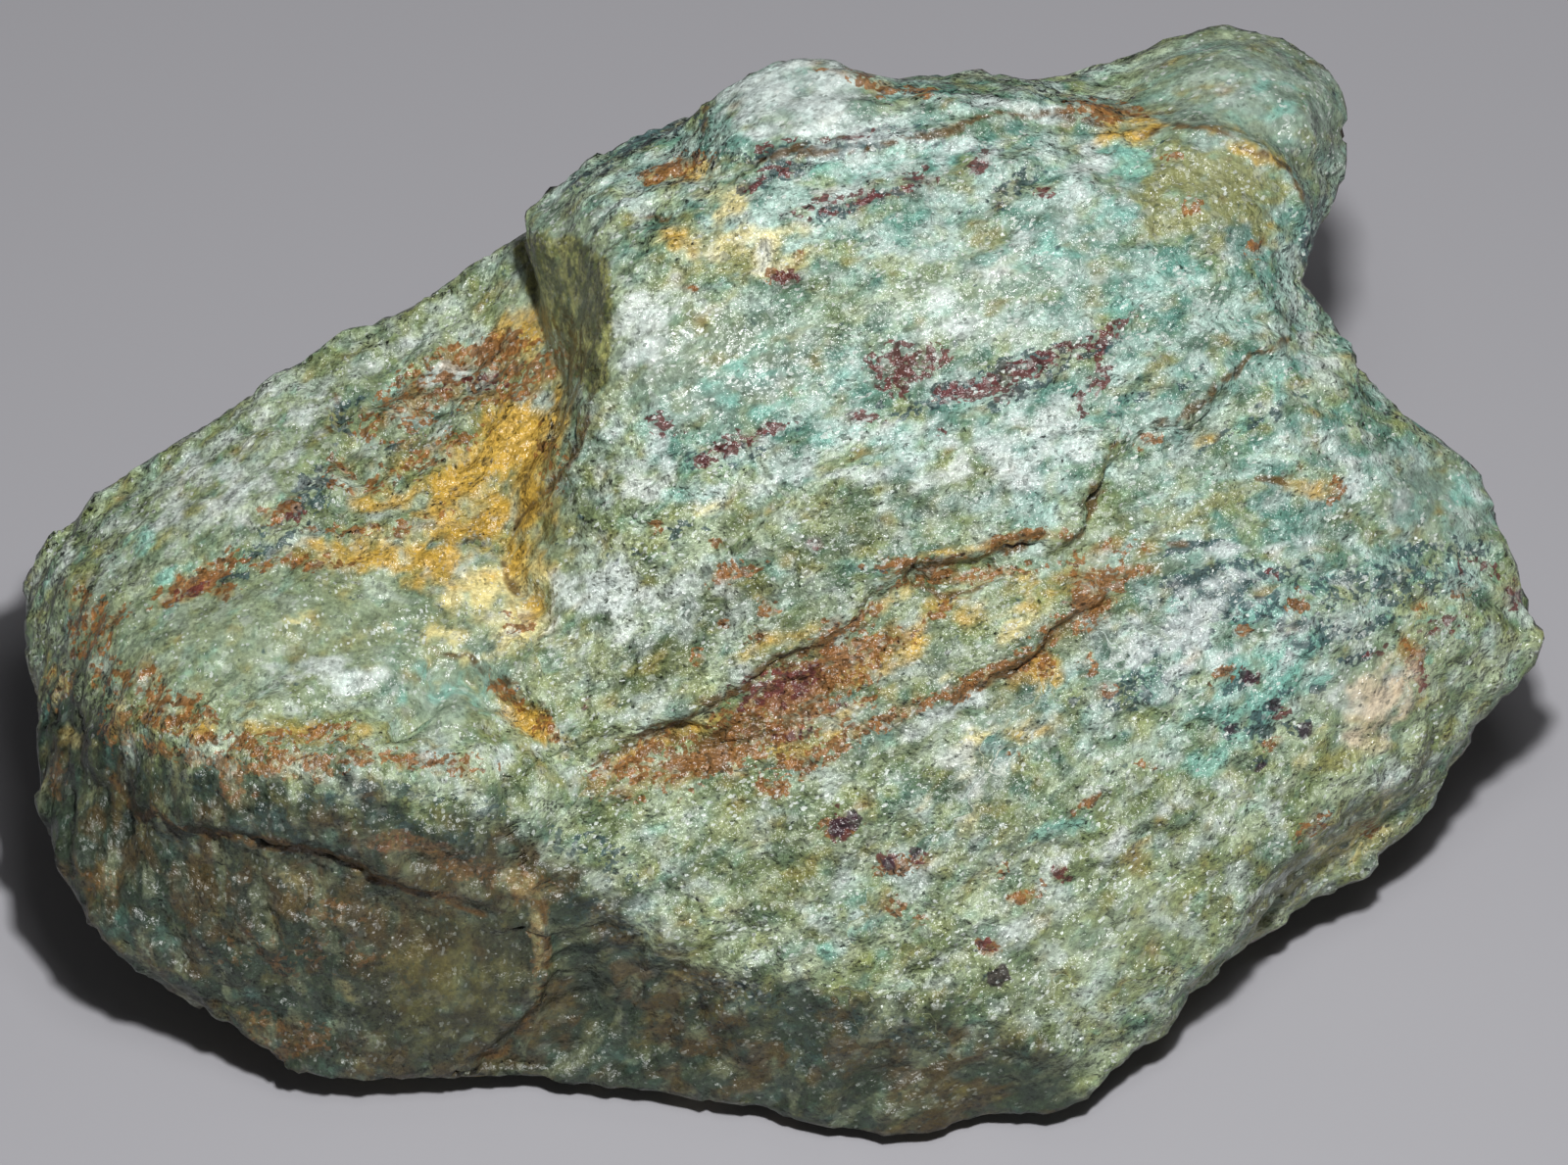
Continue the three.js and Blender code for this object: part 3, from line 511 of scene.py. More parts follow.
        (900, 170, 70, 16, 5, 6), (1000, 150, 60, 14, -8, 5), (345, 690, 46, 14, -5, 7),
        (230, 480, 130, 50, 37, 4.5), (90, 600, 30, 20, 30, 1.5), (1260, 85, 70, 40, 20, 2),
        (1380, 480, 60, 46, -20, 3), (1310, 650, 60, 30, 20, 4), (1240, 620, 40, 24, 10, 5),
        (670, 320, 30, 40, -10, 9), (900, 900, 120, 40, 20, 2.5), (1200, 650, 50, 24, 20, 9),
        (1150, 640, 40, 14, 30, 5), (1280, 560, 60, 8, 5, 8), (1350, 860, 60, 10, 35, 4),
        (1300, 900, 50, 8, 38, 4), (930, 150, 70, 10, -5, 8), (840, 130, 60, 9, 5, 9),
        (1040, 300, 60, 20, 25, 4), (690, 300, 40, 20, -30, 6), (640, 350, 14, 40, 0, 6),
        (1060, 430, 60, 20, 15, 7), (980, 480, 70, 14, 12, 6), (700, 600, 60, 14, 15, 5),
        (660, 640, 60, 14, 10, 4), (980, 720, 30, 24, 20, 6), (1000, 800, 40, 14, 50, 5),
        (1260, 830, 60, 12, 35, 5), (1430, 790, 40, 8, 40, 5), (1500, 500, 14, 30, 20, 5),
        (860, 200, 30, 14, 10, 5), (805, 90, 70, 40, 0, 9), (880, 150, 90, 26, 5, 7),
        (760, 260, 60, 20, 5, 4), (575, 640, 60, 16, 10, 4), (670, 310, 34, 30, -20, 9),
        (960, 330, 30, 40, 20, 6), (615, 605, 50, 30, 15, 10), (650, 470, 40, 50, 20, 6),
        (770, 490, 70, 14, 15, 7), (1050, 460, 60, 40, 20, 8), (900, 460, 90, 26, 12, 6),
        (820, 90, 60, 30, 0, 5), (1170, 660, 40, 16, 20, 9), (1230, 600, 50, 9, 25, 7),
        (1210, 690, 40, 14, 30, 6), (960, 730, 40, 20, 30, 5), (870, 160, 70, 12, 8, 6),
        (1050, 110, 60, 9, -12, 7), (1110, 180, 26, 60, -20, 5), (640, 220, 30, 20, 0, 5),
        (460, 380, 30, 6, 5, 9), (410, 350, 40, 12, 15, 7), (350, 690, 50, 14, -8, 8),
        (300, 680, 30, 14, 0, 7), (250, 500, 60, 10, 35, 7), (240, 450, 90, 9, 37, 5),
        (570, 765, 30, 10, 0, 7), (530, 635, 50, 20, 15, 5), (975, 775, 24, 16, 10, 7),
        (1050, 940, 60, 26, 20, 4), (760, 590, 100, 30, 15, 3), (830, 600, 60, 14, 15, 4),
        (1360, 600, 40, 8, 8, 7), (1180, 840, 80, 26, 35, 3.5), (970, 990, 70, 20, 15, 3.5),
        (1400, 700, 60, 26, 20, 4), (1020, 260, 80, 20, 25, 3.5), (1200, 230, 60, 14, 28, 3),
        (1340, 360, 30, 16, -40, 6), (700, 110, 10, 10, 0, 4), (1090, 870, 60, 10, 45, 4),
        (1320, 860, 40, 8, 35, 3), (660, 190, 26, 14, 0, 5), (770, 700, 10, 5, 0, 5),
        (450, 580, 40, 10, 5, 4), (480, 770, 60, 14, -5, 4), (840, 740, 20, 8, 0, 4),
        (60, 560, 22, 20, 0, 3),
    ],
    "olive": [
        (760, 265, 90, 26, 5, 8), (700, 240, 60, 20, -10, 6), (1235, 195, 80, 50, 0, 12),
        (1300, 200, 26, 30, 0, 5), (870, 260, 60, 14, 10, 5), (1010, 250, 40, 26, 0, 4),
        (1170, 380, 60, 14, 25, 5), (1240, 510, 80, 26, 15, 6), (1180, 540, 60, 20, 15, 6),
        (1390, 770, 50, 14, 20, 9), (870, 570, 80, 14, 10, 5), (850, 530, 60, 16, 0, 3),
        (1030, 620, 70, 16, 25, 4), (860, 760, 40, 20, 20, 4), (990, 870, 70, 26, 40, 4),
        (1200, 860, 60, 14, 40, 4), (870, 870, 100, 40, 20, 3.5), (700, 860, 60, 26, 20, 3.5),
        (560, 790, 50, 12, -20, 6), (545, 745, 26, 22, -40, 7), (600, 690, 90, 34, 5, 4),
        (280, 745, 130, 16, -6, 8), (450, 610, 60, 12, 10, 4), (250, 460, 110, 8, 38, 6),
        (200, 520, 90, 8, 36, 6), (330, 440, 40, 12, 40, 5), (100, 570, 50, 14, 40, 5),
        (1330, 130, 30, 40, -30, 4), (1310, 440, 30, 16, 0, 4), (1400, 380, 60, 14, -45, 3),
        (560, 520, 20, 60, 20, 7), (560, 620, 14, 40, 0, 6), (610, 430, 16, 30, 20, 4),
        (450, 1010, 60, 46, 0, 8), (1280, 940, 26, 40, -30, 5), (1345, 880, 90, 24, 38, 8),
        (980, 780, 40, 12, 40, 4), (740, 930, 90, 16, 25, 3), (1060, 600, 50, 16, 20, 5),
        (690, 560, 40, 12, 0, 2.5),
    ],
    "cream": [
        (1390, 860, 50, 20, 30, 4.5), (1352, 862, 16, 8, 40, 8), (1420, 810, 40, 14, 40, 3),
        (990, 770, 60, 24, 40, 4), (1040, 640, 40, 12, 30, 5), (430, 640, 40, 16, 5, 5),
        (800, 620, 50, 12, 20, 3), (930, 600, 50, 10, 35, 5), (60, 700, 16, 12, 0, 7),
        (75, 755, 18, 9, -10, 7), (120, 720, 10, 16, 0, 5), (300, 900, 40, 8, -20, 4),
        (700, 1000, 30, 6, -20, 4), (755, 250, 80, 30, 0, 6), (540, 905, 30, 14, -30, 8),
        (550, 960, 8, 50, 0, 9), (345, 1010, 30, 8, -30, 4), (500, 600, 56, 26, 15, 10),
        (530, 640, 34, 26, 30, 9), (470, 640, 50, 20, 10, 5), (470, 670, 50, 14, 5, 4),
        (305, 628, 16, 9, 0, 6), (1370, 745, 40, 18, 15, 3), (960, 700, 26, 9, 35, 4),
        (740, 205, 30, 26, 0, 5), (790, 250, 30, 9, 0, 6), (720, 520, 26, 14, 0, 5),
        (1010, 800, 90, 14, 60, 3), (560, 440, 20, 26, 0, 5), (1290, 800, 70, 12, 35, 3),
        (590, 650, 40, 10, 5, 4), (1060, 740, 40, 16, 20, 3.5),
    ],
    "peach": [
        (1405, 718, 46, 28, 75, 7.5), (1436, 712, 36, 10, 80, 8), (985, 690, 22, 14, 30, 4.5),
    ],
}

# Separate round dark grains, each as the pixel in its middle and its radius in pixels.
BEADS = [
    (1018, 996, 12), (856, 842, 9), (872, 834, 8), (905, 885, 7), (930, 872, 7), (1272, 692, 7),
    (1258, 742, 7), (1332, 742, 8), (1302, 716, 7), (1286, 782, 6),
]

# Broad changes of the ground's tone, of its streaks and of its smoothness, listed in the same way as the
# marks.
REGIONS = {
    "cool": [
        (950, 190, 340, 110, 0, 10), (1200, 330, 260, 120, 25, 10), (900, 400, 260, 80, 10, 8),
        (1360, 520, 210, 120, 20, 9), (800, 90, 100, 50, 0, 10), (1280, 100, 110, 80, 0, 6),
        (160, 960, 80, 50, 0, 6), (1180, 690, 220, 80, 20, 6), (470, 700, 70, 40, 10, 5),
    ],
    # Dim regions: some are darker stone, and some are painted shade: the knob's far rim, the hollow at the
    # lower right and the walls below the faces.
    "dim": [
        (740, 370, 90, 40, 0, 8), (1230, 200, 80, 40, 0, 6), (1366, 130, 24, 100, -5, 10),
        (1320, 48, 54, 18, -30, 9), (300, 950, 110, 50, -10, 7), (720, 1060, 90, 40, -15, 7),
        (850, 880, 260, 90, 25, 3), (780, 600, 240, 60, 20, 5), (880, 830, 90, 40, 25, 3),
        (1240, 480, 180, 60, 20, 1.5), (960, 1000, 220, 40, -12, 3.5), (590, 480, 40, 130, 10, 4.5),
        (1350, 120, 40, 90, -20, 4), (70, 700, 60, 120, 0, 7), (1000, 700, 200, 70, 20, 4),
        (840, 520, 120, 40, 15, 3), (420, 420, 120, 40, 30, 3), (1345, 874, 125, 34, 40, 5.5),
    ],
    "swing": [
        (1180, 830, 340, 150, 35, 10),
    ],
    "polish": [
        (810, 95, 75, 42, 0, 10), (1270, 95, 100, 75, 0, 10), (575, 300, 50, 90, 0, 10),
        (460, 1000, 80, 90, 0, 9), (730, 370, 100, 50, 0, 10), (1010, 300, 120, 50, 20, 5),
        (1130, 950, 90, 50, 20, 4), (1460, 510, 50, 40, 0, 8), (290, 650, 190, 60, 0, 10),
        (230, 500, 160, 50, 37, 5.5), (460, 705, 60, 36, 20, 10), (1230, 190, 100, 40, 0, 4),
        (520, 610, 60, 40, 0, 6), (1400, 710, 50, 35, 0, 6), (560, 560, 30, 100, 10, 6),
        (1180, 560, 90, 24, 0, 4),
    ],
}

# The step between the blocks and the walls are darker than the faces above them: partly their own
# darker stone, and partly painted shade where they turn away from the light.
STEP_OUTLINE = [
    (516, 243), (560, 238), (600, 250), (617, 262), (627, 311), (619, 390), (600, 402), (566, 352),
    (541, 306),
]
WALL_TOP = [
    (20, 700), (70, 700), (112, 745), (153, 765), (255, 795), (327, 805), (388, 815), (449, 820),
    (510, 832), (560, 865), (612, 912), (663, 945), (714, 976), (755, 996), (831, 1011), (907, 1029),
    (1004, 1047), (1055, 1068), (1116, 1116),
]

# How softly marks fade out, from 0 for a sharp edge to 1.
MARK_SOFTNESS = 0.75
REGION_SOFTNESS = 0.9
POLISH_SOFTNESS = 0.6
BEAD_SOFTNESS = 0.3

# How far the darkening of a crack reaches, rust stain and painted shade in its crevice, and the change
# from face to wall, in millimetres.
CRACK_STAIN_AND_SHADE = 0.38
WALL_FADE = 6.0

# Out of the photograph's sight: the size of the streaks of tints, their limits and strength, the strength
# of regions, and the slopes that are walls.
HIDDEN_STREAKS = (7.0, 4.0, 1.6)
HIDDEN_LIMITS = (0.25, 0.6)
HIDDEN_MOST = 0.7
HIDDEN_REGIONS = 0.3
# Downward slopes out of sight take the walls' dark colour, as painted shade under the stone.
HIDDEN_WALLS = (-0.75, -0.2)

# How often the normals are smoothed before the tints are laid, and the outline of the step.
NORMAL_PASSES = 6
STEP_PASSES = 2


def blot(spots, marks, softness):
    """How strongly these marks cover each spot."""
    cover = np.zeros(len(spots))
    for x, y, length, width, turn, tenths in marks:
        gap = spots - from_photo((x, y))
        angle = math.radians(turn)
        along = gap @ (math.cos(angle), math.sin(angle)) * PIXELS_PER_MM / length
        across = gap @ (-math.sin(angle), math.cos(angle)) * PIXELS_PER_MM / width
        reach = np.sqrt(along ** 2 + across ** 2)
        cover = np.maximum(cover, tenths / 10 * (1 - smooth(reach, 1 - softness, 1 + softness)))
    return cover


def inside(outline, spots):
    """Which spots lie inside an outline drawn in pixels."""
    corners = from_photo(outline)
    found = np.zeros(len(spots), bool)
    for a, b in zip(corners, np.roll(corners, -1, axis=0)):
        crosses = (a[1] > spots[:, 1]) != (b[1] > spots[:, 1])
        reach = a[0] + (spots[:, 1] - a[1]) / (b[1] - a[1] + 1e-9) * (b[0] - a[0])
        found ^= crosses & (spots[:, 0] < reach)
    return found.astype(float)


def below(line, spots, width):
    """How far spots lie under a line drawn in pixels from left to right, from 0 above it to 1 below."""
    corners = from_photo(line)
    height = np.interp(spots[:, 0], corners[:, 0], corners[:, 1])
    return smooth(height - spots[:, 1], -width / 2, width / 2)


# Darkening along the cracks: rust stain, and painted shade in the crevices.
def crack_stains_and_shade(spots):
    cracks = np.zeros(len(spots))
    for _, _, line in GROOVES + DROPS:
        distance, _, ends = distance_to(line, spots)
        stain = np.exp(-(distance / CRACK_STAIN_AND_SHADE) ** 2) * smooth(ends, 0, GROOVE_TAPER)
        cracks = np.maximum(cracks, stain)
    return cracks


def stains(surface):
    """Where each tint lies: as marked on the side that the photograph shows, and scattered elsewhere."""
    places = surface.places
    normals = surface.spread(surface.normals, NORMAL_PASSES)
    seen = towards_camera(normals, SEEN)
    spots = on_face(places)[:, :2] + wander(places, MARK_WANDER)
    streaks = places @ layer_axes(LAYERS_HIGH).T / HIDDEN_STREAKS
    tints = {"low": low_share(surface)}
    for number, (name, marks) in enumerate(MARKS.items()):
        elsewhere = smooth(fractal(streaks, 1.0, shift=13 * number), *HIDDEN_LIMITS) * HIDDEN_MOST
        tints[name] = blot(spots, marks, MARK_SOFTNESS) * seen + elsewhere * (1 - seen)
    for name, marks in REGIONS.items():
        tints[name] = blot(spots, marks, REGION_SOFTNESS) * seen + HIDDEN_REGIONS * (1 - seen)
    beads = [(x, y, radius, radius, 0, 10) for x, y, radius in BEADS]
    tints["bead"] = blot(spots, beads, BEAD_SOFTNESS) * seen
    tints["crack"] = crack_stains_and_shade(spots) * seen
    tints["step"] = surface.spread(inside(STEP_OUTLINE, spots) * seen, STEP_PASSES)
    # The walls under their top edge take a darker colour: partly their own stone, partly painted shade.
    wall = below(WALL_TOP, spots + wander(places, WALL_WANDER), WALL_FADE) * seen
    # Out of sight, slopes that face down take the same colour as painted shade under the stone.
    hidden_walls = smooth(-normals[:, 2], *HIDDEN_WALLS) * (1 - seen)
    tints["wall"] = np.maximum(wall, hidden_walls)
    return tints


def as_piece(surface, name, tints):
    """A mesh object whose points carry the tints as attributes."""
    mesh = bpy.data.meshes.new(name)
    mesh.from_pydata((surface.places * MM).tolist(), [], surface.faces.tolist())
    for polygon in mesh.polygons:
        polygon.use_smooth = True
    for tint, values in tints.items():
        attribute = mesh.attributes.new(tint, "FLOAT", "POINT")
        attribute.data.foreach_set("value", values.astype(np.float32))
    piece = bpy.data.objects.new(name, mesh)
    bpy.context.scene.collection.objects.link(piece)
    return piece


# The noises of the material, each as its scale, its extra octaves and how rough they make it.
NOISES = {
    "swing": (0.25, 2, 0.5),
    "bend": (1.5, 1, 0.5),
    "streaks": (0.8, 2, 0.45),
    "fine streaks": (0.7, 2, 0.45),
    "patches": (0.42, 2, 0.45),
    # The wall noise: the walls' patches, and how far their darker colour, partly painted shade, reaches.
    "grime_and_shade": (0.7, 3, 0.5),
    "wall patches": (0.2, 2, 0.5),
    "step edge": (0.6, 2, 0.5),
    "step": (0.6, 3, 0.6),
    "soft": (0.5, 2, 0.45),
    "clumps": (0.8, 2, 0.5),
    "cracks": (0.9, 2, 0.5),
    "mottle": (2.4, 4, 0.6),
    "painted_glints": (0.3, 2, 0.6),
    "small relief": (1.1, 3, 0.6),
    "broad relief": (0.5, 1, 0.4),
}


class Nodes:
    """Short ways to add the nodes of one material."""

    def __init__(self, name):
        self.material = bpy.data.materials.new(name)
        self.material.use_nodes = True
        self.tree = self.material.node_tree
        self.shader = self.tree.nodes["Principled BSDF"]

    def add(self, kind, inputs=(), **settings):
        node = self.tree.nodes.new("ShaderNode" + kind)
        for key, value in settings.items():
            setattr(node, key, value)
        for key, value in dict(inputs).items():
            self.feed(node.inputs[key], value)
        return node

    def feed(self, socket, value):
        if isinstance(value, bpy.types.NodeSocket):
            self.tree.links.new(value, socket)
        else:
            socket.default_value = value

    def finish(self, name, value):
        """Gives the shader's own input this value."""
        self.feed(self.shader.inputs[name], value)

    def attribute(self, name):
        return self.add("Attribute", attribute_name=name).outputs["Fac"]

    def math(self, operation, a, b):
        return self.add("Math", {0: a, 1: b}, operation=operation).outputs[0]

    def plus(self, a, b):
        return self.math("ADD", a, b)

    def times(self, a, b):
        return self.math("MULTIPLY", a, b)

    def less(self, a, b):
        return self.math("SUBTRACT", a, b)

    def most(self, first, *others):
        """The strongest of these attributes."""
        strongest = self.attribute(first)
        for name in others:
            strongest = self.math("MAXIMUM", strongest, self.attribute(name))
        return strongest

    def vector(self, operation, a, b=(0, 0, 0)):
        return self.add("VectorMath", {0: a, 1: b}, operation=operation).outputs[0]

    def scaled(self, vector, sizes):
        return self.vector("DIVIDE", vector, sizes)

    def turned(self, vector, axes):
        """The vector's parts along three axes."""
        parts = {}
        for number, axis in enumerate(axes):
            dot = self.add("VectorMath", {0: vector, 1: tuple(axis)}, operation="DOT_PRODUCT")
            parts[number] = dot.outputs["Value"]
        return self.add("CombineXYZ", parts).outputs[0]

    def noise_node(self, vector, name):
        scale, detail, roughness = NOISES[name]
        inputs = {"Vector": vector, "Scale": scale, "Detail": detail, "Roughness": roughness}
        return self.add("TexNoise", inputs)

    def noise(self, vector, name):
        return self.noise_node(vector, name).outputs["Fac"]

    def noises(self, vector, name):
        """Three separate noises of one kind."""
        return self.parts(self.noise_node(vector, name).outputs["Color"])

    def cells(self, vector, size):
        """The random colours of cells of this size."""
        inputs = {"Vector": self.scaled(vector, size), "Scale": 1.0}
        return self.add("TexVoronoi", inputs).outputs["Color"]

    def parts(self, colour):
        node = self.add("SeparateColor", {0: colour})
        return [node.outputs[channel] for channel in range(3)]

    def ramp(self, value, low, high, to_low=0.0, to_high=1.0):
        inputs = {"Value": value, "From Min": low, "From Max": high, "To Min": to_low, "To Max": to_high}
        return self.add("MapRange", inputs, interpolation_type="SMOOTHSTEP").outputs[0]

    def choose(self, share, a, b):
        """The first vector or the second, by a share of 0 or 1."""
        return self.add("Mix", {0: share, 4: a, 5: b}, data_type="VECTOR").outputs[1]

    def mix(self, share, a, b, blend="MIX"):
        colours = [value if isinstance(value, bpy.types.NodeSocket) else (*value, 1.0) for value in (a, b)]
        inputs = {0: share, 6: colours[0], 7: colours[1]}
        settings = {"data_type": "RGBA", "blend_type": blend, "clamp_factor": True}
        return self.add("Mix", inputs, **settings).outputs[2]

    def over(self, colour, tone, value, start, full, cover=1.0):
        """The tone over the colour, from none at the value's start to this much where it is full."""
        return self.mix(self.ramp(value, start, full, 0, cover), colour, tone)


# Colours of the rock, as linear red, green and blue: each ground where its streaks are dark and pale, and
# the even ground of the smooth parts where it is warm and cool.
WARM_GROUND = ((0.21, 0.27, 0.12), (0.46, 0.55, 0.36))
COOL_GROUND = ((0.13, 0.29, 0.23), (0.47, 0.65, 0.57))
EVEN_GROUND = ((0.28, 0.345, 0.22), (0.28, 0.38, 0.345))
# Dim regions, partly painted shade, keep this share of the colour.
DIM_SHARE = 0.55
# White of the quartz grains, and of the painted glints on the flakes.
QUARTZ_AND_GLINT_WHITE = (0.80, 0.86, 0.80)
GLOOM = (0.05, 0.07, 0.05)
TINTS = {
    "olive": (0.30, 0.29, 0.09),
    "cream": (0.92, 0.78, 0.34),
    "teal": (0.24, 0.55, 0.46),
    "blue": (0.05, 0.10, 0.115),
    "white": (0.80, 0.88, 0.85),
    "ochre": (0.66, 0.40, 0.055),
    "rust": (0.36, 0.15, 0.04),
    "maroon": (0.17, 0.04, 0.04),
    "peach": (0.82, 0.66, 0.47),
}
# The step and the walls: their own darker olive, brown and green stone, made darker still as painted shade
# where they turn from the light.
STEP_TONE = (0.082, 0.095, 0.026)
STEP_LIGHT = (0.33, 0.335, 0.115)
WALL_TONE = (0.068, 0.045, 0.017)
WALL_GREEN = (0.028, 0.043, 0.027)
WALL_DARK = (0.015, 0.026, 0.018)
WALL_PALE = (0.17, 0.19, 0.11)
WALL_KHAKI = (0.055, 0.037, 0.011)
# The cracks' dark brown: rust stain, and painted shade in the crevices.
CRACK_TONE = (0.13, 0.07, 0.02)
BEAD_TONE = (0.045, 0.025, 0.035)

# Pale, dark and mossy patches over the ground, each as its colour and where it starts, is full, and how
# far it then covers.
PATCHES = [
    ((0.64, 0.75, 0.69), (0.5, 0.68, 0.6)),
    ((0.10, 0.18, 0.11), (0.5, 0.7, 0.7)),
    ((0.34, 0.38, 0.13), (0.5, 0.7, 0.6)),
]

# Where other things start, are full, and how far they then cover, by their noise or attribute.
EDGES = {
    "swing": (0.98, 1.0),
    "low": (0.45, 0.55),
    "pale streaks": (0.82, 1.18),
    "cool": (1.15, 1.85),
    "dim": (0.7, 1.6),
    "green wall": (0.74, 0.86),
    "dark wall": (0.48, 0.62, 0.8),
    "pale wall": (0.54, 0.66, 0.6),
    "wall": (1.0, 1.7, 0.95),
    "light step": (0.42, 0.62),
    "step": (0.55, 1.0, 0.92),
    "bead": (0.35, 0.65, 0.85),
    "crack": (0.35, 0.9, 0.85),
    "white grains": (0.90, 0.97, 0.22),
    "dark grains": (0.08, 0.04, 0.25),
    "painted_glints": (1.13, 1.16, 0.7),
    "dark flakes": (0.05, 0.02, 0.5),
}

# How much of the noise is added to the attribute or to the other noise before it meets its edge.
BROAD_STREAKS_ADD = 1.1
FINE_STREAKS_ADD = 0.9
HUE_ADDS = 2.2
SHADE_ADDS = 1.6
# The wall noise, for the walls' darker stone and painted shade, adds this much to their patches and edge.
GRIME_AND_SHADE_ADDS_TO_PATCHES = 0.6
GRIME_AND_SHADE_ADDS_TO_WALL = 1.8
NOISE_ADDS_TO_STEP = 0.5
NOISE_ADDS_TO_PAINTED_GLINTS = 0.35

# How far smooth parts even out the ground, and turn the walls khaki.
EVEN_COVER = 0.8
KHAKI_COVER = 0.7

# How much of each tint is scattered over the whole stone.
SPRINKLED = {
    "olive": 0.22, "teal": 0.16, "blue": 0.12, "white": 0.06, "ochre": 0.06, "rust": 0.05, "maroon": 0.04,
}

# How unevenly the tints lie: the washes of ochre and cream are the most even.
UNEVEN = {"ochre": 1.9, "cream": 1.9, "peach": 2.3, "rust": 2.2, "blue": 2.2, "maroon": 2.0}
UNEVEN_OTHERS = 2.8

# A faint mark is scattered less: the mark at which the scatter is full, and what is left of it without
# one.
SCATTER_FULL = 0.35
SCATTER_LEAST = 0.35

# How far each tint covers the grains under it.
COVER = {
    "olive": 0.75, "cream": 0.85, "teal": 0.7, "blue": 0.8, "white": 0.65, "ochre": 0.9, "rust": 0.85,
    "maroon": 0.85, "peach": 0.8,
}

# The dark minerals are whole grains with crisp edges, more of them than not left out, in two tones.
# Between them they stain the rock this far.
CRISP_EDGE = (0.46, 0.62)
SOFT_EDGE = (0.2, 0.95)
STAIN_EDGE = (0.25, 0.95)
LEFT_OUT = 0.55
DARKER_GRAIN = 0.55
STAIN_COVER = {"blue": 0.2, "maroon": 0.35, "rust": 0.45}

# The clumps of the dark minerals lie apart from the soft marks by this step in the noise.
CLUMPS_APART = (31.0, 17.0, 5.0)

# Tints hide this much on the walls and the step, whose darkness is partly painted shade, and grains
# show this much less there and on the rust and ochre stains.
DARK_STONE_AND_SHADE_HIDE_TINTS = 0.7
STAINS_AND_SHADE_HIDE_GRAINS = 0.8

# The darkening of a crack, rust stain and painted shade, is broken up: the limits of its noise, and
# what is left of it at the lower one.
CRACK_LIMITS = (0.35, 0.55)
CRACK_LEAST = 0.45

# The grains of the rock, its small flakes along the streaks, and the grains of the dark minerals, in
# millimetres, and how far the outlines of grains are bent.
GRAIN_SIZE = (0.6, 0.6, 0.5)
FLAKE_SIZE = (0.28, 0.17, 0.19)
FLECK_SIZE = (0.42, 0.42, 0.34)
BEND = (0.5, 0.5, 0.5)

# The streaks, the fine streaks and the streaks of the walls, in millimetres along, across and through the
# layers.
STREAK_SIZE = (4.2, 2.8, 1.7)
FINE_STREAK_SIZE = (1.15, 0.9, 0.7)
WALL_STREAK_SIZE = (3.0, 1.5, 0.9)

# The darkest and the lightest that a grain, a flake and the mottling make the colour under them.
GRAIN_TONES = (0.90, 1.10)
FLAKE_TONES = (0.88, 1.12)
MOTTLE_TONES = (0.6, 1.4)

# How far grains and flakes lean, how much calmer walls and the step are than smooth parts, and how much
# of the roughness the smooth parts lose.
GRAIN_LEAN = 0.45
FLAKE_LEAN = 0.7
WALL_CALM = 0.6
CALM_LOSES = 0.75

# The bumps: their strength, and their height in millimetres.
BUMP_STRENGTH = 0.8
BUMP_HEIGHT = 0.7

# The gloss: the roughness of a dull flake and of a bright one, between these limits, and what walls add
# to it.
SHINE_LIMITS = (0.3, 0.6)
SHINE = (0.40, 0.28)
WALL_DULLS = 0.12
REFRACTION = 1.6


def layer_streaks(n, place):
    """Places along, across and through the layers, as they lie in each block."""
    streaks = n.turned(place, layer_axes(LAYERS_HIGH))
    swing = n.plus(n.attribute("swing"), n.noise(place, "swing"))
    streaks = n.choose(n.ramp(swing, *EDGES["swing"]), streaks, n.turned(place, layer_axes(LAYERS_SWUNG)))
    low = n.ramp(n.attribute("low"), *EDGES["low"])
    return n.choose(low, streaks, n.turned(place, layer_axes(LAYERS_LOW)))


def ground_colour(n, place, streaks, fine_along):
    """Soft pale and dark patches and streaks, warmer or cooler and lighter or dimmer by region."""
    broad, hue, shade = n.noises(n.scaled(streaks, STREAK_SIZE), "streaks")
    fine = n.noise(fine_along, "fine streaks")
    pale = n.plus(n.times(broad, BROAD_STREAKS_ADD), n.times(fine, FINE_STREAKS_ADD))
    pale = n.ramp(pale, *EDGES["pale streaks"])
    warm = n.mix(pale, *WARM_GROUND)
    cool = n.mix(pale, *COOL_GROUND)
    colour = n.over(warm, cool, n.plus(n.attribute("cool"), n.times(hue, HUE_ADDS)), *EDGES["cool"])
    for patch, (tone, edge) in zip(n.noises(place, "patches"), PATCHES):
        colour = n.over(colour, tone, patch, *edge)
    # Dim regions are partly painted shade.
    dim = n.mix(1.0, colour, (DIM_SHARE,) * 3, "MULTIPLY")
    colour = n.over(colour, dim, n.plus(n.attribute("dim"), n.times(shade, SHADE_ADDS)), *EDGES["dim"])
    even = n.mix(n.attribute("cool"), *EVEN_GROUND)
    return n.mix(n.times(n.attribute("polish"), EVEN_COVER), colour, even)


def with_walls(n, colour, place, streaks):
    """The walls, brown and green with dark and pale streaks and partly painted shade, over the colour."""
    grime_and_shade, depth, speck = n.noises(n.scaled(streaks, WALL_STREAK_SIZE), "grime_and_shade")
    patch = n.plus(n.noise(place, "wall patches"), n.times(grime_and_shade, GRIME_AND_SHADE_ADDS_TO_PATCHES))
    wall = n.over(WALL_TONE, WALL_GREEN, patch, *EDGES["green wall"])
    wall = n.over(wall, WALL_DARK, depth, *EDGES["dark wall"])
    wall = n.over(wall, WALL_PALE, speck, *EDGES["pale wall"])
    wall = n.mix(n.times(n.attribute("polish"), KHAKI_COVER), wall, WALL_KHAKI)
    edge = n.plus(n.attribute("wall"), n.times(grime_and_shade, GRIME_AND_SHADE_ADDS_TO_WALL))
    return n.over(colour, wall, edge, *EDGES["wall"])


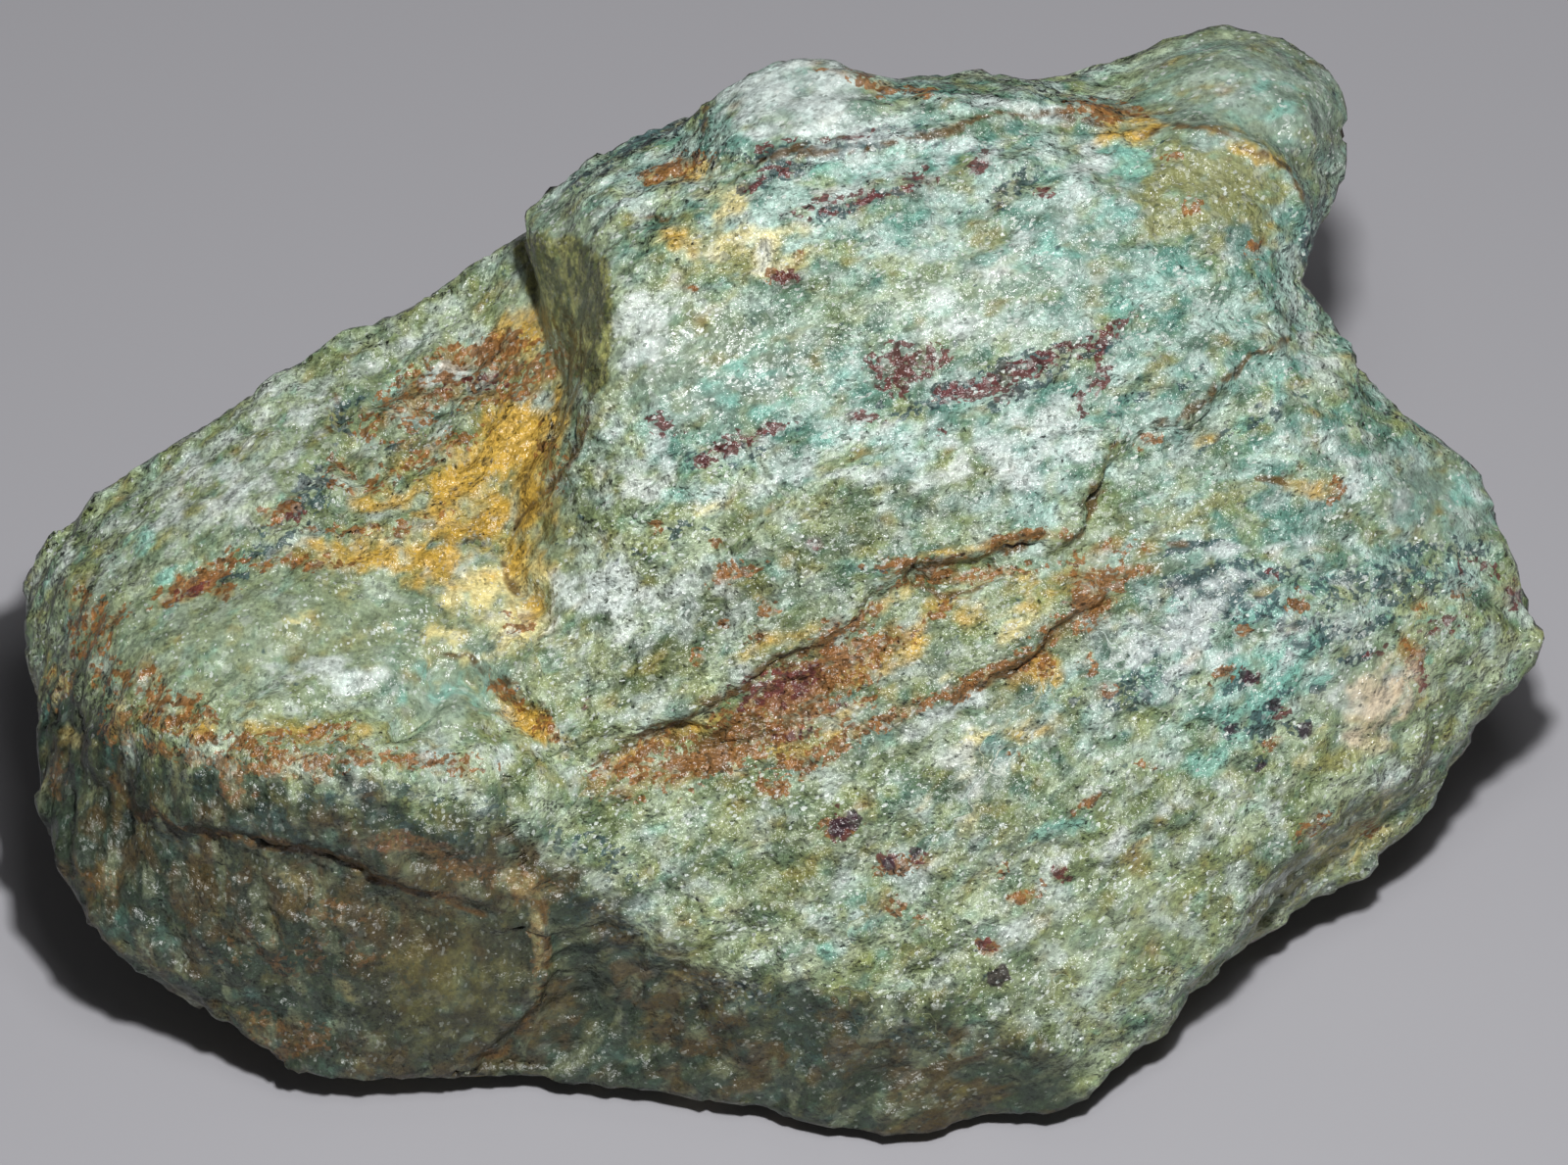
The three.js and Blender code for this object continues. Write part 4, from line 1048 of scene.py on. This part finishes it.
def with_step(n, colour, place):
    """The smooth facet of the step over the colour: dark olive stone and painted shade."""
    step = n.over(STEP_TONE, STEP_LIGHT, n.noise(place, "step"), *EDGES["light step"])
    edge = n.plus(n.attribute("step"), n.times(n.noise(place, "step edge"), NOISE_ADDS_TO_STEP))
    return n.over(colour, step, edge, *EDGES["step"])


def with_tints(n, colour, warped, fine_along):
    """The colour with its tints: soft stains that fade out, and whole grains of the dark minerals."""
    soft = n.noises(fine_along, "soft")
    clumps = n.noises(n.vector("ADD", fine_along, CLUMPS_APART), "clumps")
    flecks = n.parts(n.cells(warped, FLECK_SIZE))
    # The tints hide on the walls and the step, which carry painted shade over their darker stone.
    clean_and_unshaded = n.less(1.0, n.times(n.most("wall", "step"), DARK_STONE_AND_SHADE_HIDE_TINTS))
    for number, (name, tint) in enumerate(TINTS.items()):
        is_crisp = name in STAIN_COVER
        channel = number % 3
        uneven = UNEVEN.get(name, UNEVEN_OTHERS)
        scatter = n.times(n.less((clumps if is_crisp else soft)[channel], 0.5), uneven)
        if is_crisp:
            scatter = n.plus(scatter, n.less(flecks[channel], LEFT_OUT))
        mark = n.math("MAXIMUM", n.attribute(name), SPRINKLED.get(name, 0.0))
        edge = n.plus(mark, n.times(scatter, n.ramp(mark, 0, SCATTER_FULL, SCATTER_LEAST, 1)))
        limits = CRISP_EDGE if is_crisp else SOFT_EDGE
        cover = n.times(n.ramp(edge, *limits, 0, COVER[name]), clean_and_unshaded)
        if is_crisp:
            stain = n.plus(n.attribute(name), n.times(n.less(soft[channel], 0.5), uneven))
            stain = n.ramp(stain, *STAIN_EDGE, 0, STAIN_COVER[name])
            colour = n.mix(n.times(stain, clean_and_unshaded), colour, tint)
            darker = tuple(DARKER_GRAIN * part for part in tint)
            tint = n.mix(flecks[(number + 1) % 3], darker, tint)
        colour = n.mix(cover, colour, tint)
    return colour


def with_cracks(n, colour, place):
    """The colour with the dark round grains, and the cracks darkened by rust and painted shade, over it."""
    colour = n.over(colour, BEAD_TONE, n.attribute("bead"), *EDGES["bead"])
    broken = n.ramp(n.noise(place, "cracks"), *CRACK_LIMITS, CRACK_LEAST, 1)
    return n.over(colour, CRACK_TONE, n.times(n.attribute("crack"), broken), *EDGES["crack"])


def with_grains(n, colour, place, grain, flake):
    """Light and dark grains and painted glints over the colour, fewer on the walls, step and stains."""
    grain_tone, grain_lot, _ = n.parts(grain)
    flake_tone, flake_lot, _ = n.parts(flake)
    # Grains show less on the walls and the step, which carry painted shade, and on rust and ochre.
    clean_and_unshaded = n.less(1.0, n.times(n.most("wall", "step", "rust", "ochre"), STAINS_AND_SHADE_HIDE_GRAINS))
    mottle = n.noise(place, "mottle")
    for share, tones in ((grain_tone, GRAIN_TONES), (flake_tone, FLAKE_TONES), (mottle, MOTTLE_TONES)):
        level = n.ramp(share, 0, 1, *tones)
        grey = n.add("CombineColor", {channel: level for channel in range(3)}).outputs[0]
        colour = n.mix(1.0, colour, grey, "MULTIPLY")
    # White flakes are painted glints, standing in for the flash caught on tilted grains.
    painted_glints = n.plus(flake_lot, n.times(n.noise(place, "painted_glints"), NOISE_ADDS_TO_PAINTED_GLINTS))
    grains_of_both = (grain_lot, "white grains", grain_lot, "dark grains")
    flakes_of_both = (painted_glints, "painted_glints", flake_lot, "dark flakes")
    for white_lot, white, dark_lot, dark in (grains_of_both, flakes_of_both):
        start, full, cover = EDGES[white]
        colour = n.mix(n.times(clean_and_unshaded, n.ramp(white_lot, start, full, 0, cover)), colour, QUARTZ_AND_GLINT_WHITE)
        colour = n.over(colour, GLOOM, dark_lot, *EDGES[dark])
    return colour


def broken_normal(n, place, grain, flake):
    """Each grain is a small flat break that leans its own way, over low bumps."""
    calm = n.math("MAXIMUM", n.attribute("polish"), n.times(n.most("wall", "step"), WALL_CALM))
    rough = n.less(1.0, n.times(calm, CALM_LOSES))
    normal = n.add("NewGeometry").outputs["Normal"]
    for cells, amount in ((grain, GRAIN_LEAN), (flake, FLAKE_LEAN)):
        lean = n.vector("SUBTRACT", cells, (0.5, 0.5, 0.5))
        lean = n.add("VectorMath", {0: lean, 3: n.times(rough, amount)}, operation="SCALE").outputs[0]
        normal = n.vector("ADD", normal, lean)
    height = n.plus(n.times(n.noise(place, "small relief"), rough), n.noise(place, "broad relief"))
    inputs = {
        "Height": height, "Normal": n.vector("NORMALIZE", normal), "Strength": BUMP_STRENGTH,
        "Distance": BUMP_HEIGHT * MM,
    }
    return n.add("Bump", inputs).outputs[0]


def quartzite_material():
    n = Nodes("quartzite_finish")
    place = n.vector("MULTIPLY", n.add("TexCoord").outputs["Object"], (1 / MM,) * 3)
    streaks = layer_streaks(n, place)
    fine_along = n.scaled(streaks, FINE_STREAK_SIZE)
    bend = n.noise_node(place, "bend").outputs["Color"]
    warped = n.vector("ADD", place, n.vector("MULTIPLY", bend, BEND))
    grain = n.cells(warped, GRAIN_SIZE)
    flake = n.cells(streaks, FLAKE_SIZE)

    colour = ground_colour(n, place, streaks, fine_along)
    colour = with_walls(n, colour, place, streaks)
    colour = with_step(n, colour, place)
    colour = with_tints(n, colour, warped, fine_along)
    colour = with_cracks(n, colour, place)
    n.finish("Base Color", with_grains(n, colour, place, grain, flake))

    n.finish("Normal", broken_normal(n, place, grain, flake))
    shine = n.ramp(n.parts(flake)[2], *SHINE_LIMITS, *SHINE)
    n.finish("Roughness", n.plus(shine, n.times(n.attribute("wall"), WALL_DULLS)))
    n.finish("IOR", REFRACTION)
    return n.material


# The floor: half its width in millimetres, its colour and its roughness.
FLOOR_HALF = 1500
FLOOR_TONE = (0.41, 0.405, 0.43, 1)
FLOOR_ROUGHNESS = 0.9

# The camera stands far off, so that the perspective stays as slight as the solid was drawn for. It sees
# from the nearer to the farther of these distances.
CAMERA_DISTANCE = 3000
CAMERA_SEES = (100, 10000)
SENSOR_WIDTH = 36

# The lights, as azimuth and elevation in degrees, distance and size in millimetres, and power in watts.
LIGHTS = {"flash": (12, 66, 360, 26, 1.25), "window": (20, 72, 400, 140, 0.26)}
ROOM_TONE = (0.95, 0.96, 1.0, 1)
ROOM_STRENGTH = 0.05


def floor_material():
    n = Nodes("paper")
    n.finish("Base Color", FLOOR_TONE)
    n.finish("Roughness", FLOOR_ROUGHNESS)
    return n.material


def build_stone():
    surface = Surface(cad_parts["quartzite"].data)
    surface.soften(SMOOTHING_PASSES)
    carve(surface)
    break_up(surface)
    piece = as_piece(surface, "quartzite_surface", stains(surface))
    piece.data.materials.append(quartzite_material())
    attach(piece, "root")
    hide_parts("quartzite")


def build_floor():
    mesh = bpy.data.meshes.new("floor")
    half = FLOOR_HALF * MM
    corners = [(-half, -half, 0), (half, -half, 0), (half, half, 0), (-half, half, 0)]
    mesh.from_pydata(corners, [], [(0, 1, 2, 3)])
    floor = bpy.data.objects.new("floor", mesh)
    floor.data.materials.append(floor_material())
    bpy.context.scene.collection.objects.link(floor)


def aim(thing, place, target):
    thing.location = place
    thing.rotation_euler = (Vector(target) - Vector(place)).to_track_quat("-Z", "Y").to_euler()


def around(azimuth, elevation, distance):
    """A place this far from the face's middle: azimuth 0 is in front, and 90 to the right."""
    turn, rise = math.radians(azimuth), math.radians(elevation)
    way = Vector((math.sin(turn) * math.cos(rise), -math.cos(turn) * math.cos(rise), math.sin(rise)))
    return Vector(FACE_MIDDLE * MM) + way * distance * MM


def build_lights():
    for name, (azimuth, elevation, distance, size, power) in LIGHTS.items():
        light = bpy.data.lights.new(name, "AREA")
        light.size = size * MM
        light.energy = power
        lamp = bpy.data.objects.new(name, light)
        aim(lamp, around(azimuth, elevation, distance), FACE_MIDDLE * MM)
        bpy.context.scene.collection.objects.link(lamp)
    world = bpy.data.worlds.new("room")
    world.use_nodes = True
    world.node_tree.nodes["Background"].inputs["Color"].default_value = ROOM_TONE
    world.node_tree.nodes["Background"].inputs["Strength"].default_value = ROOM_STRENGTH
    bpy.context.scene.world = world


def build_camera():
    camera = bpy.data.cameras.new("camera")
    camera.sensor_width = SENSOR_WIDTH
    camera.lens = SENSOR_WIDTH * CAMERA_DISTANCE * PIXELS_PER_MM / PHOTO_SIZE[0]
    camera.clip_start, camera.clip_end = [distance * MM for distance in CAMERA_SEES]
    holder = bpy.data.objects.new("camera", camera)
    aim(holder, around(0, 90 - math.degrees(FACE_LEAN), CAMERA_DISTANCE), FACE_MIDDLE * MM)
    bpy.context.scene.collection.objects.link(holder)
    bpy.context.scene.camera = holder
    bpy.context.scene.view_settings.view_transform = "Standard"


build_stone()
build_floor()
build_camera()
build_lights()
